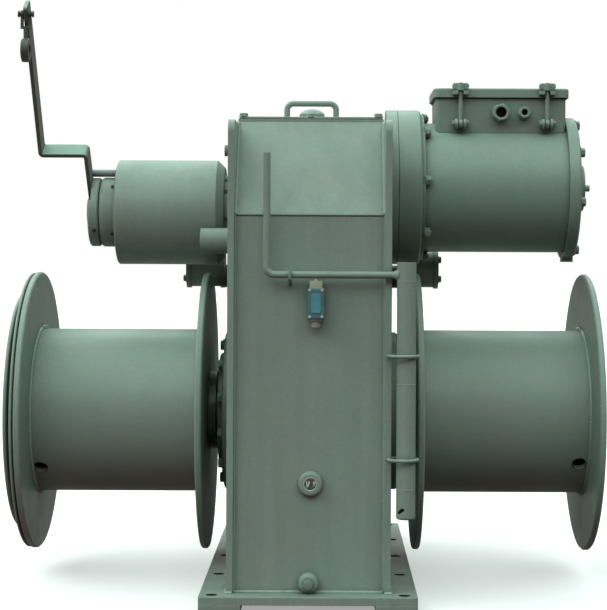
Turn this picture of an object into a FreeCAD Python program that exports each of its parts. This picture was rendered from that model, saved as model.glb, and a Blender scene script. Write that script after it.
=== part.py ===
"""Rescue boat winch: a gear case between two rope drums, with a brake, a motor and a stowed crank.

Millimetres. +Z is up. +X runs along the drum shaft toward the motor.
-Y is the front, with the oil glass and the hand crank.
The origin is the centre of the base bolt pattern, on the underside of the foot rails.
"""
import FreeCAD, Part
import math
import os

V = FreeCAD.Vector

# Base
base_side_overhang = 51.5
base_end_overhang = 43.0
base_thickness = 15.0
foot_thickness = 15.0
foot_width = 82.0
base_corner_radius = 6.0
bolt_hole_diameter = 24.0
bolt_holes_per_side = 5
bolt_side_margin = 25.0
bolt_end_margin = 29.0

# Gear case
case_width = 321.0
case_depth = 900.0
case_height = 935.0
side_thickness = 13.0
side_drop = 10.0
side_corner_radius = 25.0
panel_thickness = 10.0
panel_recess = 14.0
panel_bend_height = 738.0
panel_bend_radius = 8.0
top_length = 614.0
top_flange_thickness = 15.0
top_flange_lip = 5.0
top_flange_width = 35.0
lid_thickness = 6.0
lid_inset = 7.0
lid_side_gap = 2.0
lid_edge_radius = 1.5

# Lid fittings
handle_rod_diameter = 12.0
handle_width = 114.0
handle_height = 41.0
handle_bend_radius = 13.0
handle_y = -200.0
filler_radius = 29.0
filler_height = 33.0
filler_dome_radius = 37.0
filler_neck_radius = 24.0
filler_neck_height = 8.0
filler_y = -100.0

# Drum shaft, its bearings and the drums
shaft_height = 320.0
shaft_radius = 60.0
shaft_running_gap = 0.05
press_gap = 0.1
side_bore_gap = 10.0
bearing_radius = 172.0
bearing_thickness = 26.5
bearing_nose_radius = 125.0
bearing_nose_thickness = 12.0
bearing_chamfer = 3.0
drum_hub_radius = 85.0
drum_hub_gap = 6.0
drum_start = 221.0
drum_inner_flange_thickness = 14.0
drum_inner_width = 356.0
drum_outer_flange_thickness = 13.0
drum_flange_radius = 301.0
drum_flange_edge = 3.0
barrel_radius = 177.0
barrel_wall = 12.0
rope_hole_diameter = 29.0
left_rope_hole_inset = 18.5
right_rope_hole_inset = 22.0
left_rope_hole_angle = 39.5
right_rope_hole_angle = 34.0
end_plate_radius = 80.0
end_plate_thickness = 12.0
end_plate_chamfer = 2.0

# Remote wire reel on the left drum
reel_spacer_thickness = 3.0
reel_spacer_radius = 270.0
reel_inner_disc_thickness = 5.5
reel_inner_disc_radius = 299.0
reel_groove_width = 13.0
reel_core_radius = 215.0
reel_outer_disc_thickness = 7.5
reel_outer_disc_radius = 256.0
reel_edge = 2.0

# Idler shaft covers behind the drums
idler_stub_radius = 26.0
idler_stub_length = 39.5
idler_stub_drop = 17.0
idler_foot_radius = 42.0
idler_foot_thickness = 12.0
idler_cover_y = 170.0
idler_cover_radius = 41.0
idler_cover_length = 87.0
idler_rim_height = 3.0
idler_rim_thickness = 10.0
idler_drum_gap = 8.6

# Brake
brake_height = 753.5
brake_adapter_radius = 81.0
brake_adapter_length = 29.5
brake_radius = 114.0
brake_length = 234.0
brake_inner_chamfer = 16.0
brake_outer_round = 5.0
brake_cap_radius = 77.0
brake_cap_length = 38.0
brake_cap_round = 10.0
brake_cap_flange = 6.0
spindle_radius = 20.0
spindle_washer_radius = 32.0
spindle_washer_thickness = 6.0
lever_side_gap = 0.5

# Brake lever, in its own upright frame: heights are measured from the brake axis
lever_tilt = 32.0
lever_hub_radius = 75.0
lever_hub_length = 22.5
lever_hub_chamfer = 3.0
lever_notch_height = 24.0
lever_width = 45.0
lever_thickness = 8.0
lever_foot_setback = 1.5
lever_leg_lean = 6.0
lever_bend_height = 152.0
lever_offset = 96.5
lever_upper_lean = 4.0
lever_length = 495.0
lever_bend_radius = 11.0
lever_end_radius = 8.0
stop_rod_radius = 8.0
stop_rod_gap = 0.3
stop_rod_height = 80.5
stop_rod_overhang = 5.0

# Wire shackle on the lever
pin_radius = 4.0
pin_length = 32.0
pin_clearance = 0.15
pin_edge_distance = 8.0
pin_end_distance = 17.0
pin_head_radius = 6.5
pin_head_thickness = 3.0
fork_side_gap = 1.0
fork_leg_thickness = 5.5
fork_boss_radius = 8.0
fork_web_top = 25.0
fork_web_thickness = 5.0
fork_web_width = 8.0
shank_radius = 5.0
shank_length = 19.5
eye_outer_radius = 24.5
eye_hole_radius = 12.0
eye_thickness = 16.0
eye_sink = 3.0
eye_edge_round = 3.0

# Crank shaft sleeve on the left side plate
sleeve_radius = 27.0
sleeve_bore_radius = 21.0
sleeve_length = 74.5
sleeve_bore_depth = 62.0
sleeve_height = 690.0
sleeve_y = -135.0
crank_shaft_radius = 13.0
crank_shaft_recess = 8.0

# Motor
motor_height = 810.5
motor_flange_radius = 169.0
motor_flange_length = 24.5
motor_adapter_length = 56.5
motor_flange_chamfer = 3.0
motor_joint_groove = 2.0
motor_spigot_radius = 160.0
motor_spigot_length = 7.0
motor_radius = 141.0
motor_length = 306.5
motor_shield_radius = 154.0
motor_shield_length = 24.5
motor_shield_round = 6.0
motor_cap_radius = 50.0
motor_cap_length = 21.5
motor_stud_radius = 7.0
motor_stud_length = 15.5
shield_lug_width = 30.0
shield_lug_drop = 8.0
shield_lug_length = 24.0

# Terminal box on the motor
terminal_start = 26.0
terminal_length = 279.0
terminal_width = 164.0
terminal_top = 1001.5
terminal_edge_radius = 8.0
motor_seat_gap = 0.2
cover_thickness = 20.0
cover_overhang = 6.5
cover_edge_radius = 4.0
large_gland_x = 137.5
small_gland_x = 188.0
gland_height = 968.5
gland_length = 24.0
large_gland_radius = 16.0
large_gland_bore = 11.5
small_gland_radius = 10.5
small_gland_bore = 6.5
gland_flange_length = 6.0
gland_flange_growth = 3.0

# Swing bolts that hold the terminal box cover
swing_bolt_xs = (51.0, 237.0)
swing_pivot_height = 944.0
swing_rod_radius = 4.5
swing_pin_radius = 4.0
swing_pin_length = 34.0
swing_eye_radius = 9.0
swing_eye_width = 12.0
swing_eye_gap = 0.3
bracket_ear_thickness = 5.0
bracket_ear_radius = 11.0
lug_top_drop = 7.0
lug_thickness = 8.0
lug_width = 34.0
lug_slot_gap = 1.2
lug_reach = 7.0
nut_seat_gap = 0.5
nut_side_gap = 1.0
nut_radius = 8.5
nut_height = 13.0
wing_span = 36.0
wing_thickness = 6.0
wing_rise = 3.0
rod_end_rise = 4.0

# Front panel fittings
sight_x = 3.0
sight_height = 213.0
sight_radius = 24.5
sight_length = 14.0
sight_round = 7.0
sight_window_radius = 14.0
sight_window_recess = 3.0
drain_base_gap = 0.2
drain_radius = 20.0
drain_length = 22.0
drain_round = 8.0
drain_plug_radius = 9.0
drain_plug_length = 9.0
side_plug_radius = 11.0
side_plug_length = 8.0
side_plug_height = 864.0
side_plug_margin = 36.0

# Limit switch
switch_x = 12.6
switch_width = 33.0
switch_height = 60.0
switch_depth = 38.0
switch_edge_radius = 2.5
switch_head_width = 25.0
switch_head_height = 14.0
switch_head_depth = 28.0
switch_tip_top = 5.0
switch_tip_bottom = 10.0
switch_tip_height = 4.5
switch_tip_gap = 0.3
switch_gland_radius = 9.0
switch_gland_length = 16.0

# Hand crank, stowed against the front of the case
crank_plane_gap = 12.5
crank_rod_diameter = 14.0
crank_bend_radius = 16.0
crank_handle_x = -83.5
crank_handle_top = 858.0
crank_arm_height = 621.0
socket_radius = 18.8
socket_bottom = 147.5
socket_above_arm = 25.0
socket_bore_radius = 14.0
socket_bore_depth = 130.0
socket_end_round = 5.0
socket_slot_width = 7.0
socket_slot_length = 17.0
socket_slot_rise = 17.0
socket_slot_angle = 35.0
ring_x = 182.5
ring_rod_radius = 3.5
ring_radius = 28.5
ring_seat_gap = 0.3
ring_heights = (464.0, 263.0)
hook_x = -38.0
hook_rod_radius = 3.3
hook_seat_gap = 0.3
hook_root_drop = 18.6
hook_bend_radius = 6.0
hook_rise = 9.0

# Heights and places that follow from the values above
base_width = case_width + 2 * base_side_overhang
base_length = case_depth + 2 * base_end_overhang
base_top = foot_thickness + base_thickness
case_side = case_width / 2
case_front = -case_depth / 2
panel_front = case_front + panel_recess
flange_bottom = base_top + case_height - top_flange_thickness
lid_bottom = base_top + case_height
panel_top = lid_bottom - top_flange_lip
lid_top = lid_bottom + lid_thickness
shaft_z = base_top + shaft_height
brake_z = base_top + brake_height
motor_z = base_top + motor_height
sleeve_z = base_top + sleeve_height
bearing_face = case_side + bearing_thickness + bearing_nose_thickness
inner_flange_end = drum_start + drum_inner_flange_thickness
outer_flange_start = inner_flange_end + drum_inner_width
outer_flange_end = outer_flange_start + drum_outer_flange_thickness
reel_disc_start = outer_flange_end + reel_spacer_thickness
reel_groove_start = reel_disc_start + reel_inner_disc_thickness
reel_groove_end = reel_groove_start + reel_groove_width
reel_end = reel_groove_end + reel_outer_disc_thickness
motor_flange_end = case_side + motor_flange_length
motor_adapter_end = motor_flange_end + motor_adapter_length
motor_end = motor_adapter_end + motor_length
motor_shield_end = motor_end + motor_shield_length
motor_cap_end = motor_shield_end + motor_cap_length
terminal_left = motor_adapter_end + terminal_start
terminal_right = terminal_left + terminal_length
terminal_front = -terminal_width / 2
terminal_z = base_top + terminal_top
brake_start = case_side + brake_adapter_length
brake_end = brake_start + brake_length
brake_cap_end = brake_end + brake_cap_length
hub_start = brake_cap_end + lever_side_gap
hub_end = hub_start + lever_hub_length
lever_foot_x = -(hub_end - lever_foot_setback - lever_thickness / 2)
lever_bend_x = lever_foot_x - lever_leg_lean
lever_top_x = lever_bend_x - lever_offset - lever_upper_lean
crank_plane = case_front - crank_plane_gap
crank_arm_z = base_top + crank_arm_height
crank_rod_radius = crank_rod_diameter / 2
socket_bottom_z = base_top + socket_bottom
socket_top_z = crank_arm_z + socket_above_arm
socket_x = ring_x + ring_radius - ring_rod_radius - socket_radius - ring_seat_gap
switch_tip_top_z = crank_arm_z - crank_rod_radius - switch_tip_gap
switch_head_top = switch_tip_top_z - switch_tip_height
switch_top = switch_head_top - switch_head_height
switch_bottom = switch_top - switch_height
swing_axis_offset = cover_overhang + nut_radius + nut_side_gap
swing_pivot_z = base_top + swing_pivot_height
lug_top = terminal_z + cover_thickness - lug_top_drop


def box(x0, x1, y0, y1, z0, z1):
    return Part.makeBox(x1 - x0, y1 - y0, z1 - z0, V(x0, y0, z0))


def cylinder(start, end, radius):
    run = end - start
    return Part.makeCylinder(radius, run.Length, start, run)


def turned(profile, y, z):
    """Turn a closed outline of (x, radius) points about the line along X through (y, z)."""
    corners = [V(x, 0, radius) for x, radius in profile]
    face = Part.Face(Part.makePolygon(corners + corners[:1]))
    solid = face.revolve(V(0, 0, 0), V(1, 0, 0), 360)
    solid.translate(V(0, y, z))
    return solid


def stepped_disc(start, end, radius, bore, chamfer, y, z):
    """A disc along X from start to end, both measured outward, with chamfered rims."""
    profile = [
        (start, bore),
        (start, radius - chamfer),
        (start + chamfer, radius),
        (end - chamfer, radius),
        (end, radius - chamfer),
        (end, bore),
    ]
    return turned(profile, y, z)


def to_left(shape):
    return shape.mirror(V(0, 0, 0), V(1, 0, 0))


def round_edges(shape, radius, chosen):
    edges = [edge for edge in shape.Edges if chosen(edge)]
    return shape.makeFillet(radius, edges)


def is_upright(edge):
    start, end = edge.Vertexes[0].Point, edge.Vertexes[-1].Point
    return abs(start.x - end.x) + abs(start.y - end.y) < 0.01 and edge.Length > 1.0


def bent_wire(points, bend_radius):
    """Straight runs through the points, joined by tangent arcs of one radius."""
    edges = []
    last = points[0]
    for before, corner, after in zip(points, points[1:], points[2:]):
        back = (before - corner).normalize()
        ahead = (after - corner).normalize()
        half_angle = back.getAngle(ahead) / 2
        reach = bend_radius / math.tan(half_angle)
        centre = corner + (back + ahead).normalize() * (bend_radius / math.sin(half_angle))
        middle = centre + (corner - centre).normalize() * bend_radius
        arc_start = corner + back * reach
        arc_end = corner + ahead * reach
        edges.append(Part.LineSegment(last, arc_start).toShape())
        edges.append(Part.Arc(arc_start, middle, arc_end).toShape())
        last = arc_end
    edges.append(Part.LineSegment(last, points[-1]).toShape())
    return Part.Wire(edges)


def bent_rod(points, radius, bend_radius):
    path = bent_wire(points, bend_radius)
    section = Part.Wire(Part.makeCircle(radius, points[0], points[1] - points[0]))
    return path.makePipeShell([section], True, False)


def bolt_holes(z0, z1):
    """The drills for the hold-down bolts, in one row along each side of the base."""
    row_x = base_width / 2 - bolt_side_margin
    first_y = -base_length / 2 + bolt_end_margin
    pitch = (base_length - 2 * bolt_end_margin) / (bolt_holes_per_side - 1)
    drills = []
    for x in (-row_x, row_x):
        for index in range(bolt_holes_per_side):
            y = first_y + index * pitch
            drills.append(cylinder(V(x, y, z0), V(x, y, z1), bolt_hole_diameter / 2))
    return drills


def base_plate():
    half_width = base_width / 2
    half_length = base_length / 2
    plate = box(-half_width, half_width, -half_length, half_length, foot_thickness, base_top)
    plate = round_edges(plate, base_corner_radius, is_upright)
    return plate.cut(bolt_holes(0, base_top))


def foot_rails():
    outer = base_width / 2
    inner = outer - foot_width
    right = box(inner, outer, -base_length / 2, base_length / 2, 0, foot_thickness)
    right = round_edges(
        right, base_corner_radius, lambda edge: is_upright(edge) and edge.CenterOfMass.x > inner + 1
    )
    right = right.cut(bolt_holes(0, foot_thickness))
    return Part.makeCompound([to_left(right), right])


def side_plate():
    """The right side plate, bored for the drum shaft."""
    inner = case_side - side_thickness
    top = base_top + case_height - side_drop
    plate = box(inner, case_side, case_front, -case_front, base_top, top)
    plate = round_edges(plate, side_corner_radius, lambda edge: is_top_corner(edge, top))
    bore = cylinder(V(inner, 0, shaft_z), V(case_side, 0, shaft_z), shaft_radius + side_bore_gap)
    return plate.cut(bore)


def is_top_corner(edge, top):
    middle = edge.CenterOfMass
    along_x = abs(edge.Vertexes[0].Point.x - edge.Vertexes[-1].Point.x) > side_thickness / 2
    return along_x and abs(middle.z - top) < 0.01 and abs(abs(middle.y) + case_front) < 0.01


def front_panel():
    """One bent sheet between the side plates: upright, then leaning back to under the flange's lip."""
    inner = case_side - side_thickness
    bend_z = base_top + panel_bend_height
    top_front = -top_length / 2
    lean = math.atan2(top_front - panel_front, panel_top - bend_z)
    inner_bend_z = bend_z - panel_thickness * math.tan(lean / 2)
    top_back = top_front + panel_thickness / math.cos(lean)
    outline = [
        V(-inner, panel_front, base_top),
        V(-inner, panel_front, bend_z),
        V(-inner, top_front, panel_top),
        V(-inner, top_back, panel_top),
        V(-inner, panel_front + panel_thickness, inner_bend_z),
        V(-inner, panel_front + panel_thickness, base_top),
    ]
    face = Part.Face(Part.makePolygon(outline + outline[:1]))
    sheet = face.extrude(V(2 * inner, 0, 0))
    outer_radius = panel_bend_radius + panel_thickness
    sheet = round_edges(sheet, outer_radius, lambda edge: is_bend(edge, panel_front, bend_z))
    inner_y = panel_front + panel_thickness
    return round_edges(sheet, panel_bend_radius, lambda edge: is_bend(edge, inner_y, inner_bend_z))


def is_bend(edge, y, z):
    middle = edge.CenterOfMass
    return abs(middle.y - y) < 0.01 and abs(middle.z - z) < 0.01


def top_flange(panels):
    """The frame that the lid is bolted down on. It stands inside the panels, with a lip over their tops."""
    inner = case_side - side_thickness
    half_length = top_length / 2
    frame = box(-inner, inner, -half_length, half_length, flange_bottom, lid_bottom)
    hole_x = inner - top_flange_width
    hole_y = half_length - top_flange_width
    opening = box(-hole_x, hole_x, -hole_y, hole_y, flange_bottom, lid_bottom)
    outside = []
    for side in (-1, 1):
        near, far = sorted((side * half_length, side * (half_length - panel_thickness)))
        outside.append(box(-inner, inner, near, far, flange_bottom, panel_top))
    return frame.cut(panels + outside + [opening])


def case_lid():
    half_width = case_side - side_thickness - lid_side_gap
    half_length = top_length / 2 - lid_inset
    lid = box(-half_width, half_width, -half_length, half_length, lid_bottom, lid_top)
    return round_edges(lid, lid_edge_radius, lambda edge: abs(edge.CenterOfMass.z - lid_top) < 0.01)


def lid_handle():
    half_width = (handle_width - handle_rod_diameter) / 2
    top = lid_top + handle_height - handle_rod_diameter / 2
    points = [
        V(-half_width, handle_y, lid_top),
        V(-half_width, handle_y, top),
        V(half_width, handle_y, top),
        V(half_width, handle_y, lid_top),
    ]
    return bent_rod(points, handle_rod_diameter / 2, handle_bend_radius)


def filler_cap():
    """A screwed neck with a faceted, domed cap over it."""
    foot = V(0, filler_y, lid_top)
    neck = cylinder(foot, foot + V(0, 0, filler_neck_height), filler_neck_radius)
    facets = 8
    corners = []
    for index in range(facets):
        angle = 2 * math.pi * (index + 0.5) / facets
        corners.append(V(filler_radius * math.cos(angle), filler_y + filler_radius * math.sin(angle), 0))
    face = Part.Face(Part.makePolygon(corners + corners[:1]))
    face.translate(V(0, 0, lid_top + filler_neck_height))
    cap = face.extrude(V(0, 0, filler_height - filler_neck_height))
    dome_centre = V(0, filler_y, lid_top + filler_height - filler_dome_radius)
    dome = Part.makeSphere(filler_dome_radius, dome_centre)
    return neck.fuse(cap.common(dome)).removeSplitter()


def bearing_housing():
    """The right drum bearing housing: a bolted flange with a lower nose toward the drum."""
    bore = shaft_radius + shaft_running_gap
    flange_end = case_side + bearing_thickness
    profile = [
        (case_side, bore),
        (case_side, bearing_radius),
        (flange_end - bearing_chamfer, bearing_radius),
        (flange_end, bearing_radius - bearing_chamfer),
        (flange_end, bearing_nose_radius),
        (bearing_face - bearing_chamfer, bearing_nose_radius),
        (bearing_face, bearing_nose_radius - bearing_chamfer),
        (bearing_face, bore),
    ]
    return turned(profile, 0, shaft_z)


def drum_shaft():
    """One shaft through the case, with a collar that each drum's inner flange is seated on."""
    collar_start = bearing_face + drum_hub_gap
    profile = [
        (-reel_end, 0),
        (-reel_end, shaft_radius),
        (-drum_start, shaft_radius),
        (-drum_start, drum_hub_radius),
        (-collar_start, drum_hub_radius),
        (-collar_start, shaft_radius),
        (collar_start, shaft_radius),
        (collar_start, drum_hub_radius),
        (drum_start, drum_hub_radius),
        (drum_start, shaft_radius),
        (outer_flange_end, shaft_radius),
        (outer_flange_end, 0),
    ]
    return turned(profile, 0, shaft_z)


def drum_flanges():
    """The inner and outer flange discs of the right drum."""
    bore = shaft_radius + press_gap
    discs = []
    for start, end in ((drum_start, inner_flange_end), (outer_flange_start, outer_flange_end)):
        discs.append(stepped_disc(start, end, drum_flange_radius, bore, drum_flange_edge, 0, shaft_z))
    return Part.makeCompound(discs)


def drum_barrel(hole_inset, hole_angle):
    """The right barrel, with the drilled hole that the rope end goes into, below the front."""
    wall = [
        (inner_flange_end, barrel_radius - barrel_wall),
        (inner_flange_end, barrel_radius),
        (outer_flange_start, barrel_radius),
        (outer_flange_start, barrel_radius - barrel_wall),
    ]
    barrel = turned(wall, 0, shaft_z)
    x = outer_flange_start - hole_inset
    slope = math.radians(hole_angle)
    outward = V(0, -math.cos(slope), -math.sin(slope))
    axis_point = V(x, 0, shaft_z)
    start = axis_point + outward * (barrel_radius - 2 * barrel_wall)
    end = axis_point + outward * (barrel_radius + barrel_wall)
    return barrel.cut(cylinder(start, end, rope_hole_diameter / 2))


def reel_discs():
    """The inner disc, which a spacer holds off the drum's flange, and the smaller outer disc."""
    bore = shaft_radius + press_gap
    inner = stepped_disc(
        reel_disc_start, reel_groove_start, reel_inner_disc_radius, bore, reel_edge, 0, shaft_z
    )
    spacer = stepped_disc(outer_flange_end, reel_disc_start, reel_spacer_radius, bore, 0, 0, shaft_z)
    outer = stepped_disc(reel_groove_end, reel_end, reel_outer_disc_radius, bore, reel_edge, 0, shaft_z)
    return to_left(Part.makeCompound([inner.fuse(spacer).removeSplitter(), outer]))


def reel_core():
    bore = shaft_radius + press_gap
    wall = [
        (reel_groove_start, bore),
        (reel_groove_start, reel_core_radius),
        (reel_groove_end, reel_core_radius),
        (reel_groove_end, bore),
    ]
    return to_left(turned(wall, 0, shaft_z))


def shaft_end_plates():
    """The retaining plates on the two ends of the drum shaft."""
    right = stepped_disc(
        outer_flange_end,
        outer_flange_end + end_plate_thickness,
        end_plate_radius,
        0,
        end_plate_chamfer,
        0,
        shaft_z,
    )
    left = stepped_disc(
        reel_end, reel_end + end_plate_thickness, end_plate_radius, 0, end_plate_chamfer, 0, shaft_z
    )
    return Part.makeCompound([to_left(left), right])


def idler_covers():
    """A round cover with two rims behind each drum, on a lower stub that is bolted to the side plate."""
    rim_radius = idler_cover_radius + idler_rim_height
    from_drum = drum_flange_radius + idler_drum_gap + rim_radius
    cover_z = shaft_z + math.sqrt(from_drum ** 2 - idler_cover_y ** 2)
    stub_z = cover_z - idler_stub_drop
    foot_end = case_side + idler_foot_thickness
    stub_end = case_side + idler_stub_length
    stub_profile = [
        (case_side, 0),
        (case_side, idler_foot_radius),
        (foot_end, idler_foot_radius),
        (foot_end, idler_stub_radius),
        (stub_end, idler_stub_radius),
        (stub_end, 0),
    ]
    cover_end = stub_end + idler_cover_length
    near_rim_end = stub_end + idler_rim_thickness
    far_rim_start = cover_end - idler_rim_thickness
    cover_profile = [
        (stub_end, 0),
        (stub_end, rim_radius),
        (near_rim_end, rim_radius),
        (near_rim_end, idler_cover_radius),
        (far_rim_start, idler_cover_radius),
        (far_rim_start, rim_radius),
        (cover_end, rim_radius),
        (cover_end, 0),
    ]
    stub = turned(stub_profile, idler_cover_y, stub_z)
    cover = turned(cover_profile, idler_cover_y, cover_z)
    right = stub.fuse(cover).removeSplitter()
    return Part.makeCompound([to_left(right), right])


def crank_shaft_sleeve():
    """An open sleeve with the end of the crank shaft standing inside it."""
    end = case_side + sleeve_length
    bottom = end - sleeve_bore_depth
    shaft_end = end - crank_shaft_recess
    profile = [
        (case_side, 0),
        (case_side, sleeve_radius),
        (end - 1, sleeve_radius),
        (end, sleeve_radius - 1),
        (end, sleeve_bore_radius),
        (bottom, sleeve_bore_radius),
        (bottom, crank_shaft_radius),
        (shaft_end - 2, crank_shaft_radius),
        (shaft_end, crank_shaft_radius - 2),
        (shaft_end, 0),
    ]
    return to_left(turned(profile, sleeve_y, sleeve_z))


def brake_adapter():
    profile = [
        (case_side, 0),
        (case_side, brake_adapter_radius),
        (brake_start, brake_adapter_radius),
        (brake_start, 0),
    ]
    return to_left(turned(profile, 0, brake_z))


def brake_housing():
    profile = [
        (brake_start, 0),
        (brake_start, brake_radius - brake_inner_chamfer),
        (brake_start + brake_inner_chamfer, brake_radius),
        (brake_end, brake_radius),
        (brake_end, 0),
    ]
    housing = turned(profile, 0, brake_z)
    rim = round_edges(housing, brake_outer_round, lambda edge: is_rim(edge, brake_end, brake_radius))
    return to_left(rim)


def is_rim(edge, x, radius):
    if not hasattr(edge.Curve, "Radius"):
        return False
    in_plane = abs(edge.BoundBox.XMin - x) + abs(edge.BoundBox.XLength) < 0.1
    return in_plane and abs(edge.Curve.Radius - radius) < 0.01


def brake_end_cap():
    """The bolted end cap, and the spindle with its washer that the lever hub turns on."""
    flange_end = brake_end + brake_cap_flange
    washer_start = hub_end + lever_side_gap
    washer_end = washer_start + spindle_washer_thickness
    cap_profile = [
        (brake_end, 0),
        (brake_end, brake_cap_radius),
        (flange_end, brake_cap_radius),
        (flange_end, brake_cap_radius - 1),
        (brake_cap_end, brake_cap_radius - 1),
        (brake_cap_end, spindle_radius),
        (washer_start, spindle_radius),
        (washer_start, spindle_washer_radius),
        (washer_end - 1, spindle_washer_radius),
        (washer_end, spindle_washer_radius - 1),
        (washer_end, 0),
    ]
    cap = turned(cap_profile, 0, brake_z)
    rounded = round_edges(
        cap, brake_cap_round, lambda edge: is_rim(edge, brake_cap_end, brake_cap_radius - 1)
    )
    return to_left(rounded)


def tilt_lever(shape):
    return shape.rotate(V(0, 0, brake_z), V(1, 0, 0), lever_tilt)


def lever_point(x, y, height):
    """A point of the upright lever frame, at the lever's rest tilt."""
    turn = math.radians(lever_tilt)
    return V(
        x,
        y * math.cos(turn) - height * math.sin(turn),
        brake_z + y * math.sin(turn) + height * math.cos(turn),
    )


def lever_strip():
    """The flat bar, bent twice so that its upper leg stands clear outboard."""
    line = [
        (lever_foot_x, 0),
        (lever_bend_x, lever_bend_height),
        (lever_bend_x - lever_offset, lever_bend_height),
        (lever_top_x, lever_length),
    ]
    left_side = offset_line(line, lever_thickness / 2)
    right_side = offset_line(line, -lever_thickness / 2)
    corners = [V(x, -lever_width / 2, brake_z + z) for x, z in left_side + right_side[::-1]]
    face = Part.Face(Part.makePolygon(corners + corners[:1]))
    strip = face.extrude(V(0, lever_width, 0))
    inner_radius = lever_bend_radius - lever_thickness
    first_outer, first_inner = right_side[1], left_side[1]
    second_outer, second_inner = left_side[2], right_side[2]
    strip = round_edges(strip, lever_bend_radius, lambda edge: is_fold(edge, (first_outer, second_outer)))
    return round_edges(strip, inner_radius, lambda edge: is_fold(edge, (first_inner, second_inner)))


def is_fold(edge, corners):
    middle = edge.CenterOfMass
    return any(abs(middle.x - x) + abs(middle.z - brake_z - z) < 0.05 for x, z in corners)


def offset_line(line, distance):
    """The line moved sideways by a distance, with mitred corners."""
    result = []
    for index, (x, z) in enumerate(line):
        normals = []
        for start, end in ((index - 1, index), (index, index + 1)):
            if start >= 0 and end < len(line):
                run = V(line[end][0] - line[start][0], 0, line[end][1] - line[start][1]).normalize()
                normals.append(V(-run.z, 0, run.x))
        total = sum(normals[1:], normals[0])
        mitre = total * (distance / (total.dot(normals[0])))
        result.append((x + mitre.x, z + mitre.z))
    return result


def lever_bar():
    """The strip with its round end, its pin hole and its foot cut level to stand in the hub's notch."""
    strip = lever_strip()
    end_z = brake_z + lever_length
    strip = round_edges(strip, lever_end_radius, lambda edge: is_lever_end(edge, end_z))
    hole_y = -lever_width / 2 + pin_edge_distance
    hole_z = end_z - pin_end_distance
    reach = lever_thickness
    hole = cylinder(
        V(lever_top_x - reach, hole_y, hole_z),
        V(lever_top_x + reach, hole_y, hole_z),
        pin_radius + pin_clearance,
    )
    below_notch = box(
        lever_foot_x - lever_width,
        lever_foot_x + lever_width,
        -lever_hub_radius,
        lever_hub_radius,
        brake_z - lever_hub_radius,
        brake_z + lever_notch_height,
    )
    return tilt_lever(strip.cut(hole)).cut(below_notch)


def is_lever_end(edge, end_z):
    middle = edge.CenterOfMass
    along_x = abs(edge.Vertexes[0].Point.x - edge.Vertexes[-1].Point.x) > lever_thickness / 2
    return along_x and abs(middle.z - end_z) < 0.01


def lever_hub():
    """The hub that turns on the spindle. Its outboard face has a level notch that the bar stands in."""
    bore = spindle_radius + shaft_running_gap
    hub = to_left(stepped_disc(hub_start, hub_end, lever_hub_radius, bore, lever_hub_chamfer, 0, brake_z))
    lean_at_rim = lever_leg_lean * lever_hub_radius / lever_bend_height
    notch = box(
        -hub_end - lever_thickness,
        lever_foot_x + lever_thickness / 2 - lean_at_rim,
        -lever_hub_radius,
        lever_hub_radius,
        brake_z + lever_notch_height,
        brake_z + lever_hub_radius,
    )
    return hub.cut([notch, lever_bar()])


def lever_pin():
    """The clevis pin through the lever's top end, with a head and a washer."""
    hole_y = -lever_width / 2 + pin_edge_distance
    middle = lever_point(lever_top_x, hole_y, lever_length - pin_end_distance)
    half = pin_length / 2
    pin = cylinder(middle - V(half, 0, 0), middle + V(half, 0, 0), pin_radius)
    for side in (-1, 1):
        outer = middle + V(side * half, 0, 0)
        pin = pin.fuse(cylinder(outer - V(side * pin_head_thickness, 0, 0), outer, pin_head_radius))
    return pin.removeSplitter()


def wire_shackle():
    """A fork on the pin, its shank, and the eye for the remote wire, hanging straight down."""
    hole_y = -lever_width / 2 + pin_edge_distance
    pin = lever_point(lever_top_x, hole_y, lever_length - pin_end_distance)
    inner = lever_thickness / 2 + fork_side_gap
    outer = inner + fork_leg_thickness
    web_bottom = fork_web_top + fork_web_thickness
    half_web = fork_web_width / 2
    tangent = math.sqrt(fork_boss_radius ** 2 - half_web ** 2)
    side = [
        V(0, -half_web, -web_bottom),
        V(0, half_web, -web_bottom),
        V(0, half_web, -tangent),
    ]
    boss = Part.Arc(side[2], V(0, 0, fork_boss_radius), V(0, -half_web, -tangent)).toShape()
    closing = [Part.LineSegment(side[0], side[1]).toShape(), Part.LineSegment(side[1], side[2]).toShape()]
    last = Part.LineSegment(V(0, -half_web, -tangent), side[0]).toShape()
    outline = Part.Face(Part.Wire(closing + [boss, last]))
    block = outline.extrude(V(2 * outer, 0, 0))
    block.translate(V(-outer, 0, 0))
    room = box(-inner, inner, -fork_boss_radius, fork_boss_radius, -fork_web_top, fork_boss_radius)
    fork = block.cut(room)
    drill = pin_radius + pin_clearance
    fork = fork.cut(cylinder(V(-outer, 0, 0), V(outer, 0, 0), drill))
    shank_end = web_bottom + shank_length
    shank = cylinder(V(0, 0, -shank_end - eye_sink), V(0, 0, -web_bottom), shank_radius)
    eye_z = -(shank_end + eye_outer_radius)
    eye = cylinder(V(-eye_thickness / 2, 0, eye_z), V(eye_thickness / 2, 0, eye_z), eye_outer_radius)
    eye = eye.makeFillet(eye_edge_round, [edge for edge in eye.Edges if edge.isClosed()])
    hole = cylinder(V(-eye_thickness, 0, eye_z), V(eye_thickness, 0, eye_z), eye_hole_radius)
    shackle = fork.fuse([shank, eye]).cut(hole).removeSplitter()
    shackle.translate(pin)
    return shackle


def brake_stop_rod():
    """The round bar behind the lever that it leans against."""
    offset = lever_width / 2 + stop_rod_gap + stop_rod_radius
    root = lever_point(-brake_end, offset, stop_rod_height)
    end_x = lever_bend_x + lever_thickness / 2 - stop_rod_overhang
    return cylinder(root, V(end_x, root.y, root.z), stop_rod_radius)


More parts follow.
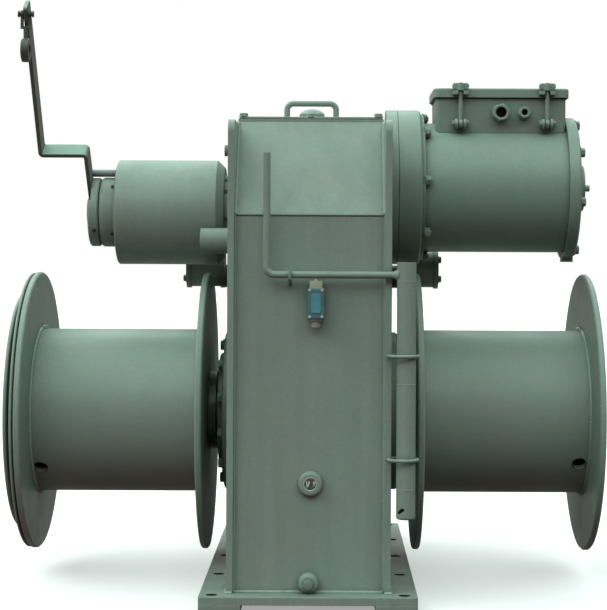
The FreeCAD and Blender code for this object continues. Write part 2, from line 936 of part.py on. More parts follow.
def motor_adapter():
    """The flange ring on the case and the adapter bolted to it, with the joint line between."""
    radius = motor_flange_radius
    chamfer = motor_flange_chamfer
    groove = motor_joint_groove
    profile = [
        (case_side, 0),
        (case_side, radius),
        (motor_flange_end - groove / 2, radius),
        (motor_flange_end - groove / 2, radius - groove),
        (motor_flange_end + groove / 2, radius - groove),
        (motor_flange_end + groove / 2, radius),
        (motor_adapter_end - motor_spigot_length - chamfer, radius),
        (motor_adapter_end - motor_spigot_length, radius - chamfer),
        (motor_adapter_end - motor_spigot_length, motor_spigot_radius),
        (motor_adapter_end, motor_spigot_radius),
        (motor_adapter_end, 0),
    ]
    return turned(profile, 0, motor_z)


def motor_body():
    return cylinder(V(motor_adapter_end, 0, motor_z), V(motor_end, 0, motor_z), motor_radius)


def motor_end_shield():
    """The end shield with its bearing cap, its centre stud and the lug below."""
    profile = [
        (motor_end, 0),
        (motor_end, motor_shield_radius),
        (motor_shield_end, motor_shield_radius),
        (motor_shield_end, motor_cap_radius),
        (motor_cap_end, motor_cap_radius),
        (motor_cap_end, motor_stud_radius),
        (motor_cap_end + motor_stud_length, motor_stud_radius),
        (motor_cap_end + motor_stud_length, 0),
    ]
    shield = turned(profile, 0, motor_z)
    shield = round_edges(
        shield, motor_shield_round, lambda edge: is_rim(edge, motor_shield_end, motor_shield_radius)
    )
    lug_bottom = motor_z - motor_shield_radius - shield_lug_drop
    lug = box(
        motor_end,
        motor_end + shield_lug_length,
        -shield_lug_width / 2,
        shield_lug_width / 2,
        lug_bottom,
        motor_z - motor_radius,
    )
    return shield.fuse(lug).removeSplitter()


def terminal_box():
    """The box whose lower edge is cut to the round of the motor."""
    body = box(terminal_left, terminal_right, terminal_front, -terminal_front, motor_z, terminal_z)
    body = round_edges(body, terminal_edge_radius, is_upright)
    saddle = cylinder(
        V(terminal_left - 1, 0, motor_z), V(terminal_right + 1, 0, motor_z), motor_radius + motor_seat_gap
    )
    return body.cut(saddle)


def cover_lug(x, side):
    """A slotted lug on the edge of the cover, open outward for the swing bolt."""
    root = -terminal_front
    reach = swing_axis_offset + lug_reach
    lug = box(x - lug_width / 2, x + lug_width / 2, root, root + reach, lug_top - lug_thickness, lug_top)
    slot_half = swing_rod_radius + lug_slot_gap
    slot_start = root + swing_axis_offset - slot_half
    slot = box(x - slot_half, x + slot_half, slot_start, root + reach, lug_top - lug_thickness, lug_top)
    lug = lug.cut(slot)
    return lug if side > 0 else lug.mirror(V(0, 0, 0), V(0, 1, 0))


def terminal_cover():
    left = terminal_left - cover_overhang
    right = terminal_right + cover_overhang
    front = terminal_front - cover_overhang
    cover = box(left, right, front, -front, terminal_z, terminal_z + cover_thickness)
    cover = round_edges(cover, terminal_edge_radius + cover_overhang, is_upright)
    top = terminal_z + cover_thickness
    cover = round_edges(cover, cover_edge_radius, lambda edge: abs(edge.CenterOfMass.z - top) < 0.01)
    lugs = [cover_lug(terminal_left + x, side) for x in swing_bolt_xs for side in (-1, 1)]
    return cover.fuse(lugs).removeSplitter()


def cable_gland(x, radius, bore):
    z = base_top + gland_height
    flange = cylinder(
        V(x, terminal_front, z), V(x, terminal_front - gland_flange_length, z), radius + gland_flange_growth
    )
    nozzle = cylinder(V(x, terminal_front, z), V(x, terminal_front - gland_length, z), radius)
    hole = cylinder(V(x, terminal_front, z), V(x, terminal_front - gland_length, z), bore)
    return flange.fuse(nozzle).removeSplitter().cut(hole)


def cable_glands():
    large = cable_gland(terminal_left + large_gland_x, large_gland_radius, large_gland_bore)
    small = cable_gland(terminal_left + small_gland_x, small_gland_radius, small_gland_bore)
    return Part.makeCompound([large, small])


def bolt_bracket(x, side):
    """Two ears on the box and the pin between them, which a swing bolt turns on."""
    inner = swing_eye_width / 2 + swing_eye_gap
    ears = []
    for direction in (-1, 1):
        near, far = sorted((direction * inner, direction * (inner + bracket_ear_thickness)))
        plate = box(x + near, x + far, 0, swing_axis_offset, -bracket_ear_radius, bracket_ear_radius)
        tip = cylinder(
            V(x + near, swing_axis_offset, 0), V(x + far, swing_axis_offset, 0), bracket_ear_radius
        )
        ears.append(plate.fuse(tip))
    half_pin = swing_pin_length / 2
    pin = cylinder(
        V(x - half_pin, swing_axis_offset, 0), V(x + half_pin, swing_axis_offset, 0), swing_pin_radius
    )
    bracket = pin.fuse(ears).removeSplitter()
    bracket.translate(V(0, -terminal_front, swing_pivot_z))
    return bracket if side > 0 else bracket.mirror(V(0, 0, 0), V(0, 1, 0))


def bolt_brackets():
    brackets = [bolt_bracket(terminal_left + x, side) for x in swing_bolt_xs for side in (-1, 1)]
    return Part.makeCompound(brackets)


def swing_bolt(x, side):
    """An eye, a rod and a wing nut that is seated on the cover's lug."""
    y = -terminal_front + swing_axis_offset
    half_eye = swing_eye_width / 2
    eye = cylinder(V(x - half_eye, y, swing_pivot_z), V(x + half_eye, y, swing_pivot_z), swing_eye_radius)
    nut_bottom = lug_top + nut_seat_gap
    nut_top = nut_bottom + nut_height
    rod = cylinder(V(x, y, swing_pivot_z), V(x, y, nut_top + rod_end_rise), swing_rod_radius)
    nut = cylinder(V(x, y, nut_bottom), V(x, y, nut_top), nut_radius)
    wing_half = wing_thickness / 2
    wing = box(
        x - wing_span / 2,
        x + wing_span / 2,
        y - wing_half,
        y + wing_half,
        nut_bottom + wing_rise,
        nut_top + wing_rise,
    )
    wing = round_edges(wing, wing_thickness, lambda edge: is_wing_corner(edge, x))
    bolt = rod.fuse([eye, nut, wing]).removeSplitter()
    drill = swing_pin_radius + pin_clearance
    bolt = bolt.cut(cylinder(V(x - half_eye, y, swing_pivot_z), V(x + half_eye, y, swing_pivot_z), drill))
    return bolt if side > 0 else bolt.mirror(V(0, 0, 0), V(0, 1, 0))


def is_wing_corner(edge, x):
    middle = edge.CenterOfMass
    along_y = abs(edge.Vertexes[0].Point.y - edge.Vertexes[-1].Point.y) > wing_thickness / 2
    return along_y and abs(abs(middle.x - x) - wing_span / 2) < 0.01


def oil_fittings():
    """The oil glass, the drain plug in its boss, and the plug in the left side plate."""
    z = base_top + sight_height
    window_y = panel_front - sight_length
    rim = cylinder(V(sight_x, panel_front, z), V(sight_x, window_y, z), sight_radius)
    front_edges = [edge for edge in rim.Edges if edge.isClosed() and edge.CenterOfMass.y < window_y + 1]
    rim = rim.makeFillet(sight_round, front_edges)
    recess = cylinder(
        V(sight_x, window_y, z), V(sight_x, window_y + sight_window_recess, z), sight_window_radius
    )
    sight = rim.cut(recess)
    z = base_top + drain_base_gap + drain_radius
    boss = cylinder(V(0, panel_front, z), V(0, panel_front - drain_length, z), drain_radius)
    boss_rim = [edge for edge in boss.Edges if edge.isClosed() and edge.CenterOfMass.y < panel_front - 1]
    boss = boss.makeFillet(drain_round, boss_rim)
    plug_end = panel_front - drain_length - drain_plug_length
    plug = cylinder(V(0, panel_front, z), V(0, plug_end, z), drain_plug_radius)
    drain = boss.fuse(plug).removeSplitter()
    z = base_top + side_plug_height
    y = case_front + side_plug_margin
    side_plug = cylinder(V(-case_side, y, z), V(-case_side - side_plug_length, y, z), side_plug_radius)
    return Part.makeCompound([sight, drain, side_plug])


def limit_switch_body():
    left = switch_x - switch_width / 2
    front = panel_front - switch_depth
    body = box(left, left + switch_width, front, panel_front, switch_bottom, switch_top)
    return round_edges(body, switch_edge_radius, lambda edge: edge.CenterOfMass.y < panel_front - 1)


def limit_switch_fittings():
    """The switch head with its plunger under the crank arm, and the cable entry below."""
    middle_y = panel_front - switch_depth / 2
    front = middle_y - switch_head_depth / 2
    left = switch_x - switch_head_width / 2
    head = box(left, left + switch_head_width, front, front + switch_head_depth, switch_top, switch_head_top)
    tip_place = V(switch_x, crank_plane, switch_head_top)
    tip = Part.makeCone(switch_tip_bottom / 2, switch_tip_top / 2, switch_tip_height, tip_place)
    entry_top = V(switch_x, middle_y, switch_bottom)
    entry = cylinder(entry_top, entry_top - V(0, 0, switch_gland_length), switch_gland_radius)
    return Part.makeCompound([head.fuse(tip).removeSplitter(), entry])


def whole_socket_tube():
    """The outside of the crank's socket tube, before it is bored."""
    lower_end = V(socket_x, crank_plane, socket_bottom_z)
    upper_end = V(socket_x, crank_plane, socket_top_z)
    return cylinder(lower_end, upper_end, socket_radius)


def crank_socket():
    """The crank's socket tube, bored from below, with a slanted slot for the cross pin."""
    lower_end = V(socket_x, crank_plane, socket_bottom_z)
    tube = whole_socket_tube()
    lowest = socket_bottom_z + 1
    lower_edges = [edge for edge in tube.Edges if edge.isClosed() and edge.CenterOfMass.z < lowest]
    tube = tube.makeFillet(socket_end_round, lower_edges)
    bore = cylinder(lower_end, lower_end + V(0, 0, socket_bore_depth), socket_bore_radius)
    half_length = socket_slot_length / 2
    half_width = socket_slot_width / 2
    slot = box(-half_length, half_length, -2 * socket_radius, 0, -half_width, half_width)
    slot = round_edges(slot, half_width - 0.01, is_crosswise)
    slot.rotate(V(0, 0, 0), V(0, 1, 0), -socket_slot_angle)
    slot.rotate(V(0, 0, 0), V(0, 0, 1), -socket_slot_angle)
    slot.translate(lower_end + V(0, 0, socket_slot_rise))
    return tube.cut([bore, slot])


def is_crosswise(edge):
    start, end = edge.Vertexes[0].Point, edge.Vertexes[-1].Point
    return abs(start.x - end.x) + abs(start.z - end.z) < 0.01 and edge.Length > socket_radius


def crank_rod():
    """The arm from the socket tube and the handle that rises from its far end."""
    points = [
        V(socket_x, crank_plane, crank_arm_z),
        V(crank_handle_x, crank_plane, crank_arm_z),
        V(crank_handle_x, crank_plane, base_top + crank_handle_top),
    ]
    return bent_rod(points, crank_rod_radius, crank_bend_radius).cut(whole_socket_tube())


def crank_holders():
    """Two rings welded to the side plate around the tube, and the hook under the arm."""
    plate = box(
        case_side - side_thickness, case_side, case_front, -case_front, base_top, base_top + case_height
    )
    rings = []
    for height in ring_heights:
        ring = Part.makeTorus(ring_radius, ring_rod_radius, V(ring_x, crank_plane, base_top + height))
        rings.append(ring.cut(plate))
    return Part.makeCompound(rings + [crank_hook()])


def crank_hook():
    """A rod that leaves the panel below the arm, slopes up under it and stands up before it."""
    reach = crank_rod_radius + hook_rod_radius + hook_seat_gap
    root_y = panel_front
    arm_back = root_y - crank_plane
    distance = math.hypot(arm_back, hook_root_drop)
    slope = math.atan2(hook_root_drop, arm_back) - math.asin(reach / distance)
    root_z = crank_arm_z - hook_root_drop
    front_y = crank_plane - reach
    knee_z = root_z + (root_y - front_y) * math.tan(slope)
    spare = 2 * hook_rod_radius
    points = [
        V(hook_x, root_y + spare, root_z - spare * math.tan(slope)),
        V(hook_x, front_y, knee_z),
        V(hook_x, front_y, crank_arm_z + hook_rise),
    ]
    behind_panel = box(
        hook_x - spare, hook_x + spare, root_y, root_y + 2 * spare, root_z - 2 * spare, root_z + spare
    )
    return bent_rod(points, hook_rod_radius, hook_bend_radius).cut(behind_panel)


def all_parts():
    left_bolt_x = terminal_left + swing_bolt_xs[0]
    right_bolt_x = terminal_left + swing_bolt_xs[1]
    right_plate = side_plate()
    front = front_panel()
    rear = front.mirror(V(0, 0, 0), V(0, 1, 0))
    right_bearing = bearing_housing()
    right_flanges = drum_flanges()
    return {
        "base_plate": base_plate(),
        "foot_rails": foot_rails(),
        "left_side_plate": to_left(right_plate),
        "right_side_plate": right_plate,
        "front_panel": front,
        "rear_panel": rear,
        "top_flange": top_flange([front, rear]),
        "case_lid": case_lid(),
        "lid_handle": lid_handle(),
        "filler_cap": filler_cap(),
        "bearing_housings": Part.makeCompound([to_left(right_bearing), right_bearing]),
        "drum_shaft": drum_shaft(),
        "left_drum_flanges": to_left(right_flanges),
        "right_drum_flanges": right_flanges,
        "left_drum_barrel": to_left(drum_barrel(left_rope_hole_inset, left_rope_hole_angle)),
        "right_drum_barrel": drum_barrel(right_rope_hole_inset, right_rope_hole_angle),
        "wire_reel_discs": reel_discs(),
        "wire_reel_core": reel_core(),
        "shaft_end_plates": shaft_end_plates(),
        "idler_shaft_covers": idler_covers(),
        "crank_shaft_sleeve": crank_shaft_sleeve(),
        "brake_adapter": brake_adapter(),
        "brake_housing": brake_housing(),
        "brake_end_cap": brake_end_cap(),
        "brake_stop_rod": brake_stop_rod(),
        "lever_hub": lever_hub(),
        "brake_lever": lever_bar(),
        "lever_pin": lever_pin(),
        "wire_shackle": wire_shackle(),
        "motor_adapter": motor_adapter(),
        "motor_body": motor_body(),
        "motor_end_shield": motor_end_shield(),
        "terminal_box": terminal_box(),
        "terminal_box_cover": terminal_cover(),
        "cable_glands": cable_glands(),
        "bolt_brackets": bolt_brackets(),
        "left_swing_bolt": swing_bolt(left_bolt_x, -1),
        "right_swing_bolt": swing_bolt(right_bolt_x, -1),
        "rear_swing_bolts": Part.makeCompound([swing_bolt(left_bolt_x, 1), swing_bolt(right_bolt_x, 1)]),
        "oil_fittings": oil_fittings(),
        "limit_switch_body": limit_switch_body(),
        "limit_switch_fittings": limit_switch_fittings(),
        "crank_socket": crank_socket(),
        "crank_rod": crank_rod(),
        "crank_holders": crank_holders(),
    }


os.makedirs("parts", exist_ok=True)
for name, shape in all_parts().items():
    shape.exportStep("parts/" + name + ".step")
    print(name, len(shape.Solids), shape.isValid(), round(shape.Volume / 1000), "cm3")
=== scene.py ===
"""Looks of the rescue boat winch: finishes, bolts, weld beads and small fittings, light, floor and camera.

Metres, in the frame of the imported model: +Z is up, +X runs toward the motor, -Y is the front.
"""

import math
import random

import bmesh
import bpy
from mathutils import Matrix, Vector


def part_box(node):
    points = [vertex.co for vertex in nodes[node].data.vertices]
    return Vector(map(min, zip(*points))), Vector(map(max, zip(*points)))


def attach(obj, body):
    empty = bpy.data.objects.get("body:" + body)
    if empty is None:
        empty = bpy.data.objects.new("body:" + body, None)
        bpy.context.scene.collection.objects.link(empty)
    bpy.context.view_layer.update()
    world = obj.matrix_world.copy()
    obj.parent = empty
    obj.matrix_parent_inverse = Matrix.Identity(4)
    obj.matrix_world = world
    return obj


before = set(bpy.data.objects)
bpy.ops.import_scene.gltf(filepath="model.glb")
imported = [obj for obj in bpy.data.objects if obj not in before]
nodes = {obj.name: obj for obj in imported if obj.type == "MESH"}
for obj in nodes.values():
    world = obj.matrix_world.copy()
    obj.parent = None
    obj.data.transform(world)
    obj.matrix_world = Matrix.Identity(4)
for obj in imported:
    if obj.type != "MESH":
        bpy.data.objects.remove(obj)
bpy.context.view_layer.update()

MM = 0.001
UP = (0, 0, 1)
DOWN = (0, 0, -1)
FRONT = (0, -1, 0)
MOTOR_SIDE = (1, 0, 0)
BRAKE_SIDE = (-1, 0, 0)
ROUND_POINTS = 24
SHARP_ANGLE = math.radians(32)

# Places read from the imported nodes
plate_low, plate_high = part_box("right_side_plate")
panel_low, panel_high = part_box("front_panel")
base_low, base_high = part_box("base_plate")
lid_low, lid_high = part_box("case_lid")
bearing_low, bearing_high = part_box("bearing_housings")
barrel_low, barrel_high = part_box("right_drum_barrel")
left_barrel_low, left_barrel_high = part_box("left_drum_barrel")
adapter_low, adapter_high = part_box("motor_adapter")
brake_low, brake_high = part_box("brake_housing")
motor_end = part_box("motor_end_shield")[1].x
oil_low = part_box("oil_fittings")[0]
case_side = plate_high.x
case_front = plate_low.y
shaft_z = (bearing_low.z + bearing_high.z) / 2
motor_z = (adapter_low.z + adapter_high.z) / 2
brake_z = (brake_low.z + brake_high.z) / 2
barrel_radius = (barrel_high.z - barrel_low.z) / 2

# The middle of the oil glass
SIGHT_X = 3 * MM
SIGHT_Z = 243 * MM

# The direction that the upper faces of the lever look in
LEVER_LEAN = math.radians(32)
LEVER_UP = (0, -math.sin(LEVER_LEAN), math.cos(LEVER_LEAN))

# The front swing bolts of the terminal box, with the bodies that they are on
SWING_BOLTS = {"left_swing_bolt": "left_bolt", "right_swing_bolt": "right_bolt"}


def rgb(red, green, blue):
    """A colour picked on a screen, as the linear values that a shader takes."""
    channels = []
    for level in (red, green, blue):
        value = level / 255
        channels.append(value / 12.92 if value <= 0.04045 else ((value + 0.055) / 1.055) ** 2.4)
    return (*channels, 1.0)


# Paints, each with its warm and its cool tone
CASE_PAINT = rgb(132, 146, 138), rgb(130, 139, 130), rgb(124, 143, 139)
MOTOR_PAINT = rgb(128, 146, 136), rgb(124, 137, 127), rgb(118, 142, 135)
# A darker copy of the motor paint: painted shade on the motor adapter and the terminal box.
MOTOR_PAINT_SHADED = rgb(119, 134, 126), rgb(116, 128, 119), rgb(110, 132, 126)
# The lever's darker tones: painted shade on its sides. The lever's own paint is green.
LEVER_PAINT_SHADED = rgb(92, 98, 92), rgb(82, 76, 70), rgb(78, 92, 88)
BOLT_PAINT = rgb(118, 134, 124), rgb(110, 116, 104), rgb(104, 126, 118)
# A lighter copy of the case paint: painted highlight on the weld beads.
WELD_PAINT_HIGHLIT = rgb(146, 166, 154), rgb(138, 152, 140), rgb(136, 160, 151)

# Marks on them: worn paint and rust; lighter colours for painted highlights on edges and for painted light on
# the lever's upper faces; and the colour of painted shade
PAINTED_EDGE_HIGHLIGHT = rgb(165, 182, 170)
PAINT_WORN = rgb(92, 98, 92)
LEVER_EDGE_HIGHLIGHT = rgb(120, 124, 116)
LEVER_TOP_LIT = rgb(118, 146, 134)
PAINTED_SHADE = rgb(48, 46, 40)
RUST = rgb(92, 52, 34)


class Tree:
    """A node tree, built from short calls that add nodes."""

    def __init__(self, tree):
        self.tree = tree

    def add(self, kind, inputs=None, **settings):
        node = self.tree.nodes.new(kind)
        for key, value in settings.items():
            setattr(node, key, value)
        for key, value in (inputs or {}).items():
            self.feed(node.inputs[key], value)
        return node

    def feed(self, socket, value):
        if isinstance(value, bpy.types.NodeSocket):
            self.tree.links.new(value, socket)
        else:
            socket.default_value = value

    def combine(self, operation, a, b=0.0):
        return self.add("ShaderNodeMath", {0: a, 1: b}, operation=operation).outputs[0]

    def plus(self, a, b):
        return self.combine("ADD", a, b)

    def times(self, a, b):
        return self.combine("MULTIPLY", a, b)

    def vectors(self, operation, a, b=(0, 0, 0)):
        return self.add("ShaderNodeVectorMath", {0: a, 1: b}, operation=operation).outputs

    def axes(self, vector):
        return self.add("ShaderNodeSeparateXYZ", {"Vector": vector}).outputs

    def span(self, value, low, high, to_low=0.0, to_high=1.0):
        """The value's way from low to high, laid over the way from to_low to to_high."""
        inputs = {"Value": value, "From Min": low, "From Max": high, "To Min": to_low, "To Max": to_high}
        return self.add("ShaderNodeMapRange", inputs, clamp=True).outputs[0]

    def mix(self, factor, a, b, blend="MIX"):
        node = self.add("ShaderNodeMix", data_type="RGBA", blend_type=blend)
        colours = [socket for socket in node.inputs if socket.type == "RGBA"]
        for socket, value in zip((node.inputs[0], *colours), (factor, a, b)):
            self.feed(socket, value)
        return [socket for socket in node.outputs if socket.type == "RGBA"][0]


class Finish(Tree):
    """One material, with the patterns that its look is built from."""

    def __init__(self, name):
        self.material = bpy.data.materials.new(name)
        self.material.use_nodes = True
        super().__init__(self.material.node_tree)
        self.shader = self.tree.nodes["Principled BSDF"]
        self.place = self.add("ShaderNodeTexCoord").outputs["Object"]

    def set(self, **values):
        for key, value in values.items():
            self.feed(self.shader.inputs[key.replace("_", " ")], value)

    def stretched(self, stretch):
        return self.add("ShaderNodeMapping", {"Vector": self.place, "Scale": stretch}).outputs[0]

    def noise(self, scale, detail=4.0, roughness=0.5, stretch=(1, 1, 1)):
        inputs = {"Vector": self.stretched(stretch), "Scale": scale, "Detail": detail, "Roughness": roughness}
        return self.add("ShaderNodeTexNoise", inputs).outputs["Fac"]

    def cells(self, scale):
        inputs = {"Vector": self.stretched((1, 1, 1)), "Scale": scale}
        return self.add("ShaderNodeTexVoronoi", inputs).outputs["Distance"]

    def rounded(self, radius):
        return self.add("ShaderNodeBevel", {"Radius": radius}, samples=6).outputs[0]

    def edge(self, rounded_normal):
        """How near a sharp edge is: 0 on flat stretches and up to 1 on the edge."""
        flat = self.add("ShaderNodeNewGeometry").outputs["Normal"]
        return self.span(self.vectors("DOT_PRODUCT", rounded_normal, flat)["Value"], 0.995, 0.86)

    def hollow(self, distance):
        """How shut in a place is: 0 in the open and up to 1 in a corner. It sets where painted shade goes."""
        node = self.add("ShaderNodeAmbientOcclusion", {"Distance": distance}, samples=8)
        return self.span(node.outputs["AO"], 0.85, 0.25)

    def looks_along(self, direction):
        """1 on faces that look along a direction of the piece itself."""
        own_normal = self.add("ShaderNodeTexCoord").outputs["Normal"]
        along = self.vectors("DOT_PRODUCT", own_normal, Vector(direction).normalized())["Value"]
        return self.span(along, 0.7, 0.86)

    def beside_pivot(self, pivots, clean_half, reach, upper):
        """1 near the ends of pivots that lie along X, at heights below upper."""
        here = self.axes(self.place)
        nearest = None
        for x in pivots:
            apart = self.combine("ABSOLUTE", self.combine("SUBTRACT", here["X"], x))
            nearest = apart if nearest is None else self.combine("MINIMUM", nearest, apart)
        side = self.span(nearest, clean_half, clean_half + reach)
        return self.times(side, self.span(here["Z"], upper, upper - reach))

    def bump(self, height, strength, distance, normal=None):
        inputs = {"Height": height, "Strength": strength, "Distance": distance}
        if normal is not None:
            inputs["Normal"] = normal
        return self.add("ShaderNodeBump", inputs).outputs[0]


def paint(
    name, tones, edge_highlight=PAINTED_EDGE_HIGHLIGHT, gloss=0.46, runs=0.5, wear=0.0, corner_shade=0.62, top=None, pivot_shade=None
):
    """Rolled deck paint: cloudy tone, faint upright runs, painted highlights on the edges, painted shade in
    the corners.

    top is a direction and the colour of the faces that look along it: painted light on faces that look up.
    pivot_shade says where painted shade goes beside the pivots.
    """
    body, warm, cool = tones
    finish = Finish(name)
    cloud = finish.noise(3.1, detail=5, roughness=0.55)
    patch = finish.noise(11.0, detail=6, roughness=0.6)
    grain = finish.noise(160.0, detail=3, roughness=0.6)
    run = finish.noise(34.0, detail=4, roughness=0.55, stretch=(1, 1, 0.045))
    tone = finish.mix(finish.span(cloud, 0.36, 0.64), warm, body)
    tone = finish.mix(finish.span(patch, 0.42, 0.72, 0.0, 0.6), tone, cool)
    streak = finish.span(run, 0.34, 0.7, 1.0 - 0.17 * runs, 1.0 + 0.05 * runs)
    tone = finish.mix(1.0, tone, streak, blend="MULTIPLY")
    speck = finish.span(grain, 0.3, 0.7, 0.95, 1.04)
    tone = finish.mix(1.0, tone, speck, blend="MULTIPLY")
    rounded = finish.rounded(1.8 * MM)
    edge = finish.edge(rounded)
    # Painted highlight: the colour turns lighter along sharp edges.
    tone = finish.mix(finish.times(edge, 0.5), tone, edge_highlight)
    # Painted shade: corners and recesses, found by ambient occlusion, turn darker, more in some patches. The
    # same mask makes them rougher.
    shut = finish.hollow(20 * MM)
    patchy_corner_shade = finish.times(shut, finish.span(patch, 0.3, 0.6, 0.5, 1.0))
    tone = finish.mix(finish.times(patchy_corner_shade, corner_shade), tone, PAINTED_SHADE)
    if wear:
        chips = finish.noise(75.0, detail=5, roughness=0.7)
        near_edge = finish.plus(finish.times(edge, 0.34), chips)
        bare = finish.span(near_edge, 0.95 - 0.1 * wear, 0.99 - 0.1 * wear)
        tone = finish.mix(bare, tone, PAINT_WORN)
    # Painted light: faces that look along the given direction take a lighter colour, as the lever's upper
    # faces do.
    if top:
        direction, colour = top
        tone = finish.mix(finish.looks_along(direction), tone, colour)
    # Painted shade on the sides of the swing bolt eyes next to their pivot ears, below the top of the eye.
    if pivot_shade:
        tone = finish.mix(finish.times(finish.beside_pivot(*pivot_shade), 0.85), tone, PAINTED_SHADE)
    finish.set(Base_Color=tone)
    matt = finish.span(patch, 0.3, 0.7, gloss - 0.07, gloss + 0.1)
    finish.set(Roughness=finish.plus(matt, finish.times(patchy_corner_shade, 0.3)))
    finish.set(Specular_IOR_Level=0.4, Coat_Weight=0.06, Coat_Roughness=0.3)
    soft = finish.bump(cloud, 0.25, 3 * MM, rounded)
    peel = finish.bump(grain, 0.14, 0.5 * MM, soft)
    finish.set(Normal=finish.bump(run, 0.12, 0.6 * MM, peel))
    return finish.material


def metal(name, colour, dark, gloss, scratch=(1, 1, 1), rust=0.0, metallic=1.0):
    """Bare or oiled metal: fine scratches, dull patches and some rust."""
    finish = Finish(name)
    patch = finish.noise(24.0, detail=6, roughness=0.65)
    lines = finish.noise(420.0, detail=3, roughness=0.7, stretch=scratch)
    tone = finish.mix(finish.span(patch, 0.35, 0.68), colour, dark)
    tone = finish.mix(1.0, tone, finish.span(lines, 0.3, 0.7, 0.82, 1.1), blend="MULTIPLY")
    stain = finish.noise(58.0, detail=8, roughness=0.75)
    limit = 0.7 - 0.28 * rust
    rusty = finish.span(stain, limit, limit + 0.09)
    tone = finish.mix(finish.times(rusty, 0.9 if rust else 0.0), tone, RUST)
    finish.set(Base_Color=tone)
    finish.set(Metallic=finish.span(rusty, 0.0, 1.0, metallic, metallic * 0.2) if rust else metallic)
    finish.set(Roughness=finish.span(patch, 0.3, 0.7, gloss, gloss + 0.18))
    rounded = finish.rounded(0.6 * MM)
    finish.set(Normal=finish.bump(lines, 0.2, 0.2 * MM, rounded))
    return finish.material


def plastic(name, colour, shade, gloss):
    """Moulded plastic with a fine pebbled skin, painted highlights on its edges and painted shade in its
    corners.
    """
    finish = Finish(name)
    patch = finish.noise(60.0, detail=5, roughness=0.6)
    pebble = finish.cells(900.0)
    tone = finish.mix(finish.span(patch, 0.35, 0.65), colour, shade)
    rounded = finish.rounded(0.8 * MM)
    # Painted highlight: lighter along sharp edges.
    tone = finish.mix(finish.times(finish.edge(rounded), 0.35), tone, rgb(142, 164, 164))
    # Painted shade in corners and recesses.
    tone = finish.mix(finish.times(finish.hollow(8 * MM), 0.7), tone, PAINTED_SHADE)
    finish.set(Base_Color=tone)
    finish.set(Roughness=finish.span(patch, 0.3, 0.7, gloss, gloss + 0.15))
    finish.set(Normal=finish.bump(pebble, 0.12, 0.2 * MM, rounded))
    return finish.material


def rubber(name):
    """Dusty black rubber."""
    finish = Finish(name)
    patch = finish.noise(130.0, detail=5, roughness=0.6)
    finish.set(Base_Color=finish.mix(finish.span(patch, 0.35, 0.7), rgb(34, 34, 32), rgb(58, 57, 53)))
    finish.set(Roughness=finish.span(patch, 0.3, 0.7, 0.6, 0.8))
    finish.set(Normal=finish.bump(patch, 0.3, 0.4 * MM))
    return finish.material


def hole_shade(name):
    """Painted shade for the inside of a hole: near black, with a trace of old grease."""
    finish = Finish(name)
    patch = finish.noise(90.0, detail=4)
    finish.set(Base_Color=finish.mix(finish.span(patch, 0.35, 0.7), rgb(14, 15, 14), rgb(26, 25, 22)))
    finish.set(Roughness=finish.span(patch, 0.3, 0.7, 0.55, 0.75))
    return finish.material


def gauge_glass(name):
    """The oil glass: dark oil behind a domed glass, with painted glints: bright streaks across its middle."""
    finish = Finish(name)
    from_centre = finish.vectors("SUBTRACT", finish.place, (SIGHT_X, oil_low.y, SIGHT_Z))[0]
    above = finish.combine("ABSOLUTE", finish.axes(from_centre)["Z"])
    band = finish.span(above, 8 * MM, 3 * MM)
    streak = finish.noise(330.0, detail=2, roughness=0.5, stretch=(1, 1, 0.22))
    # Painted glints: bright streaks in a band through the middle of the glass.
    bright = finish.times(band, finish.span(streak, 0.52, 0.58))
    dust = finish.noise(300.0, detail=6, roughness=0.7)
    oil = finish.mix(finish.span(dust, 0.4, 0.7), rgb(38, 42, 37), rgb(66, 70, 62))
    finish.set(Base_Color=finish.mix(bright, oil, rgb(196, 200, 188)))
    finish.set(Roughness=finish.span(dust, 0.4, 0.8, 0.05, 0.3))
    finish.set(Specular_IOR_Level=0.6, Coat_Weight=1.0, Coat_Roughness=0.04)
    return finish.material


def swing_pivots():
    """Where painted shade darkens the sides of the pivots: their X places, the unshaded half width, its fade
    and its top.
    """
    places = []
    for name in SWING_BOLTS:
        low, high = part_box(name)
        places.append((low.x + high.x) / 2)
    return places, 3.2 * MM, 0.8 * MM, low.z + 19 * MM


green = paint("green_grey_paint", CASE_PAINT)
green_worn = paint("green_grey_paint_worn", CASE_PAINT, wear=0.7)
drum_green = paint("drum_paint", CASE_PAINT, runs=0.15, wear=0.35)
motor_green = paint("motor_paint", MOTOR_PAINT, runs=0.2, gloss=0.42)
shaded_motor_green = paint("motor_paint_painted_shade", MOTOR_PAINT_SHADED, runs=0.2, gloss=0.42)
shaded_lever_green = paint("dark_paint", LEVER_PAINT_SHADED, LEVER_EDGE_HIGHLIGHT, gloss=0.55, top=(LEVER_UP, LEVER_TOP_LIT))
bolt_green = paint("bolt_paint", BOLT_PAINT, wear=0.6, corner_shade=0.8)
highlit_weld_green = paint("weld_paint_painted_highlight", WELD_PAINT_HIGHLIT, corner_shade=0.5)
swing_green = paint("swing_bolt_paint", MOTOR_PAINT, pivot_shade=swing_pivots())
turned = metal("turned_steel", rgb(92, 95, 90), rgb(60, 61, 57), 0.34, scratch=(1, 0.05, 0.05))
dark_steel = metal("dark_steel", rgb(96, 98, 94), rgb(64, 64, 60), 0.45, rust=0.4, metallic=0.7)
zinc = metal("zinc_screws", rgb(196, 200, 190), rgb(160, 162, 150), 0.4, metallic=0.45)
switch_blue = plastic("switch_blue", rgb(78, 112, 116), rgb(66, 100, 106), 0.42)
switch_cover = plastic("switch_cover", rgb(86, 142, 154), rgb(70, 126, 142), 0.36)
switch_metal = metal("switch_metal", rgb(176, 178, 158), rgb(148, 150, 132), 0.5, metallic=0.2)
gasket_rubber_and_shadow = rubber("gasket_rubber_and_shadow")
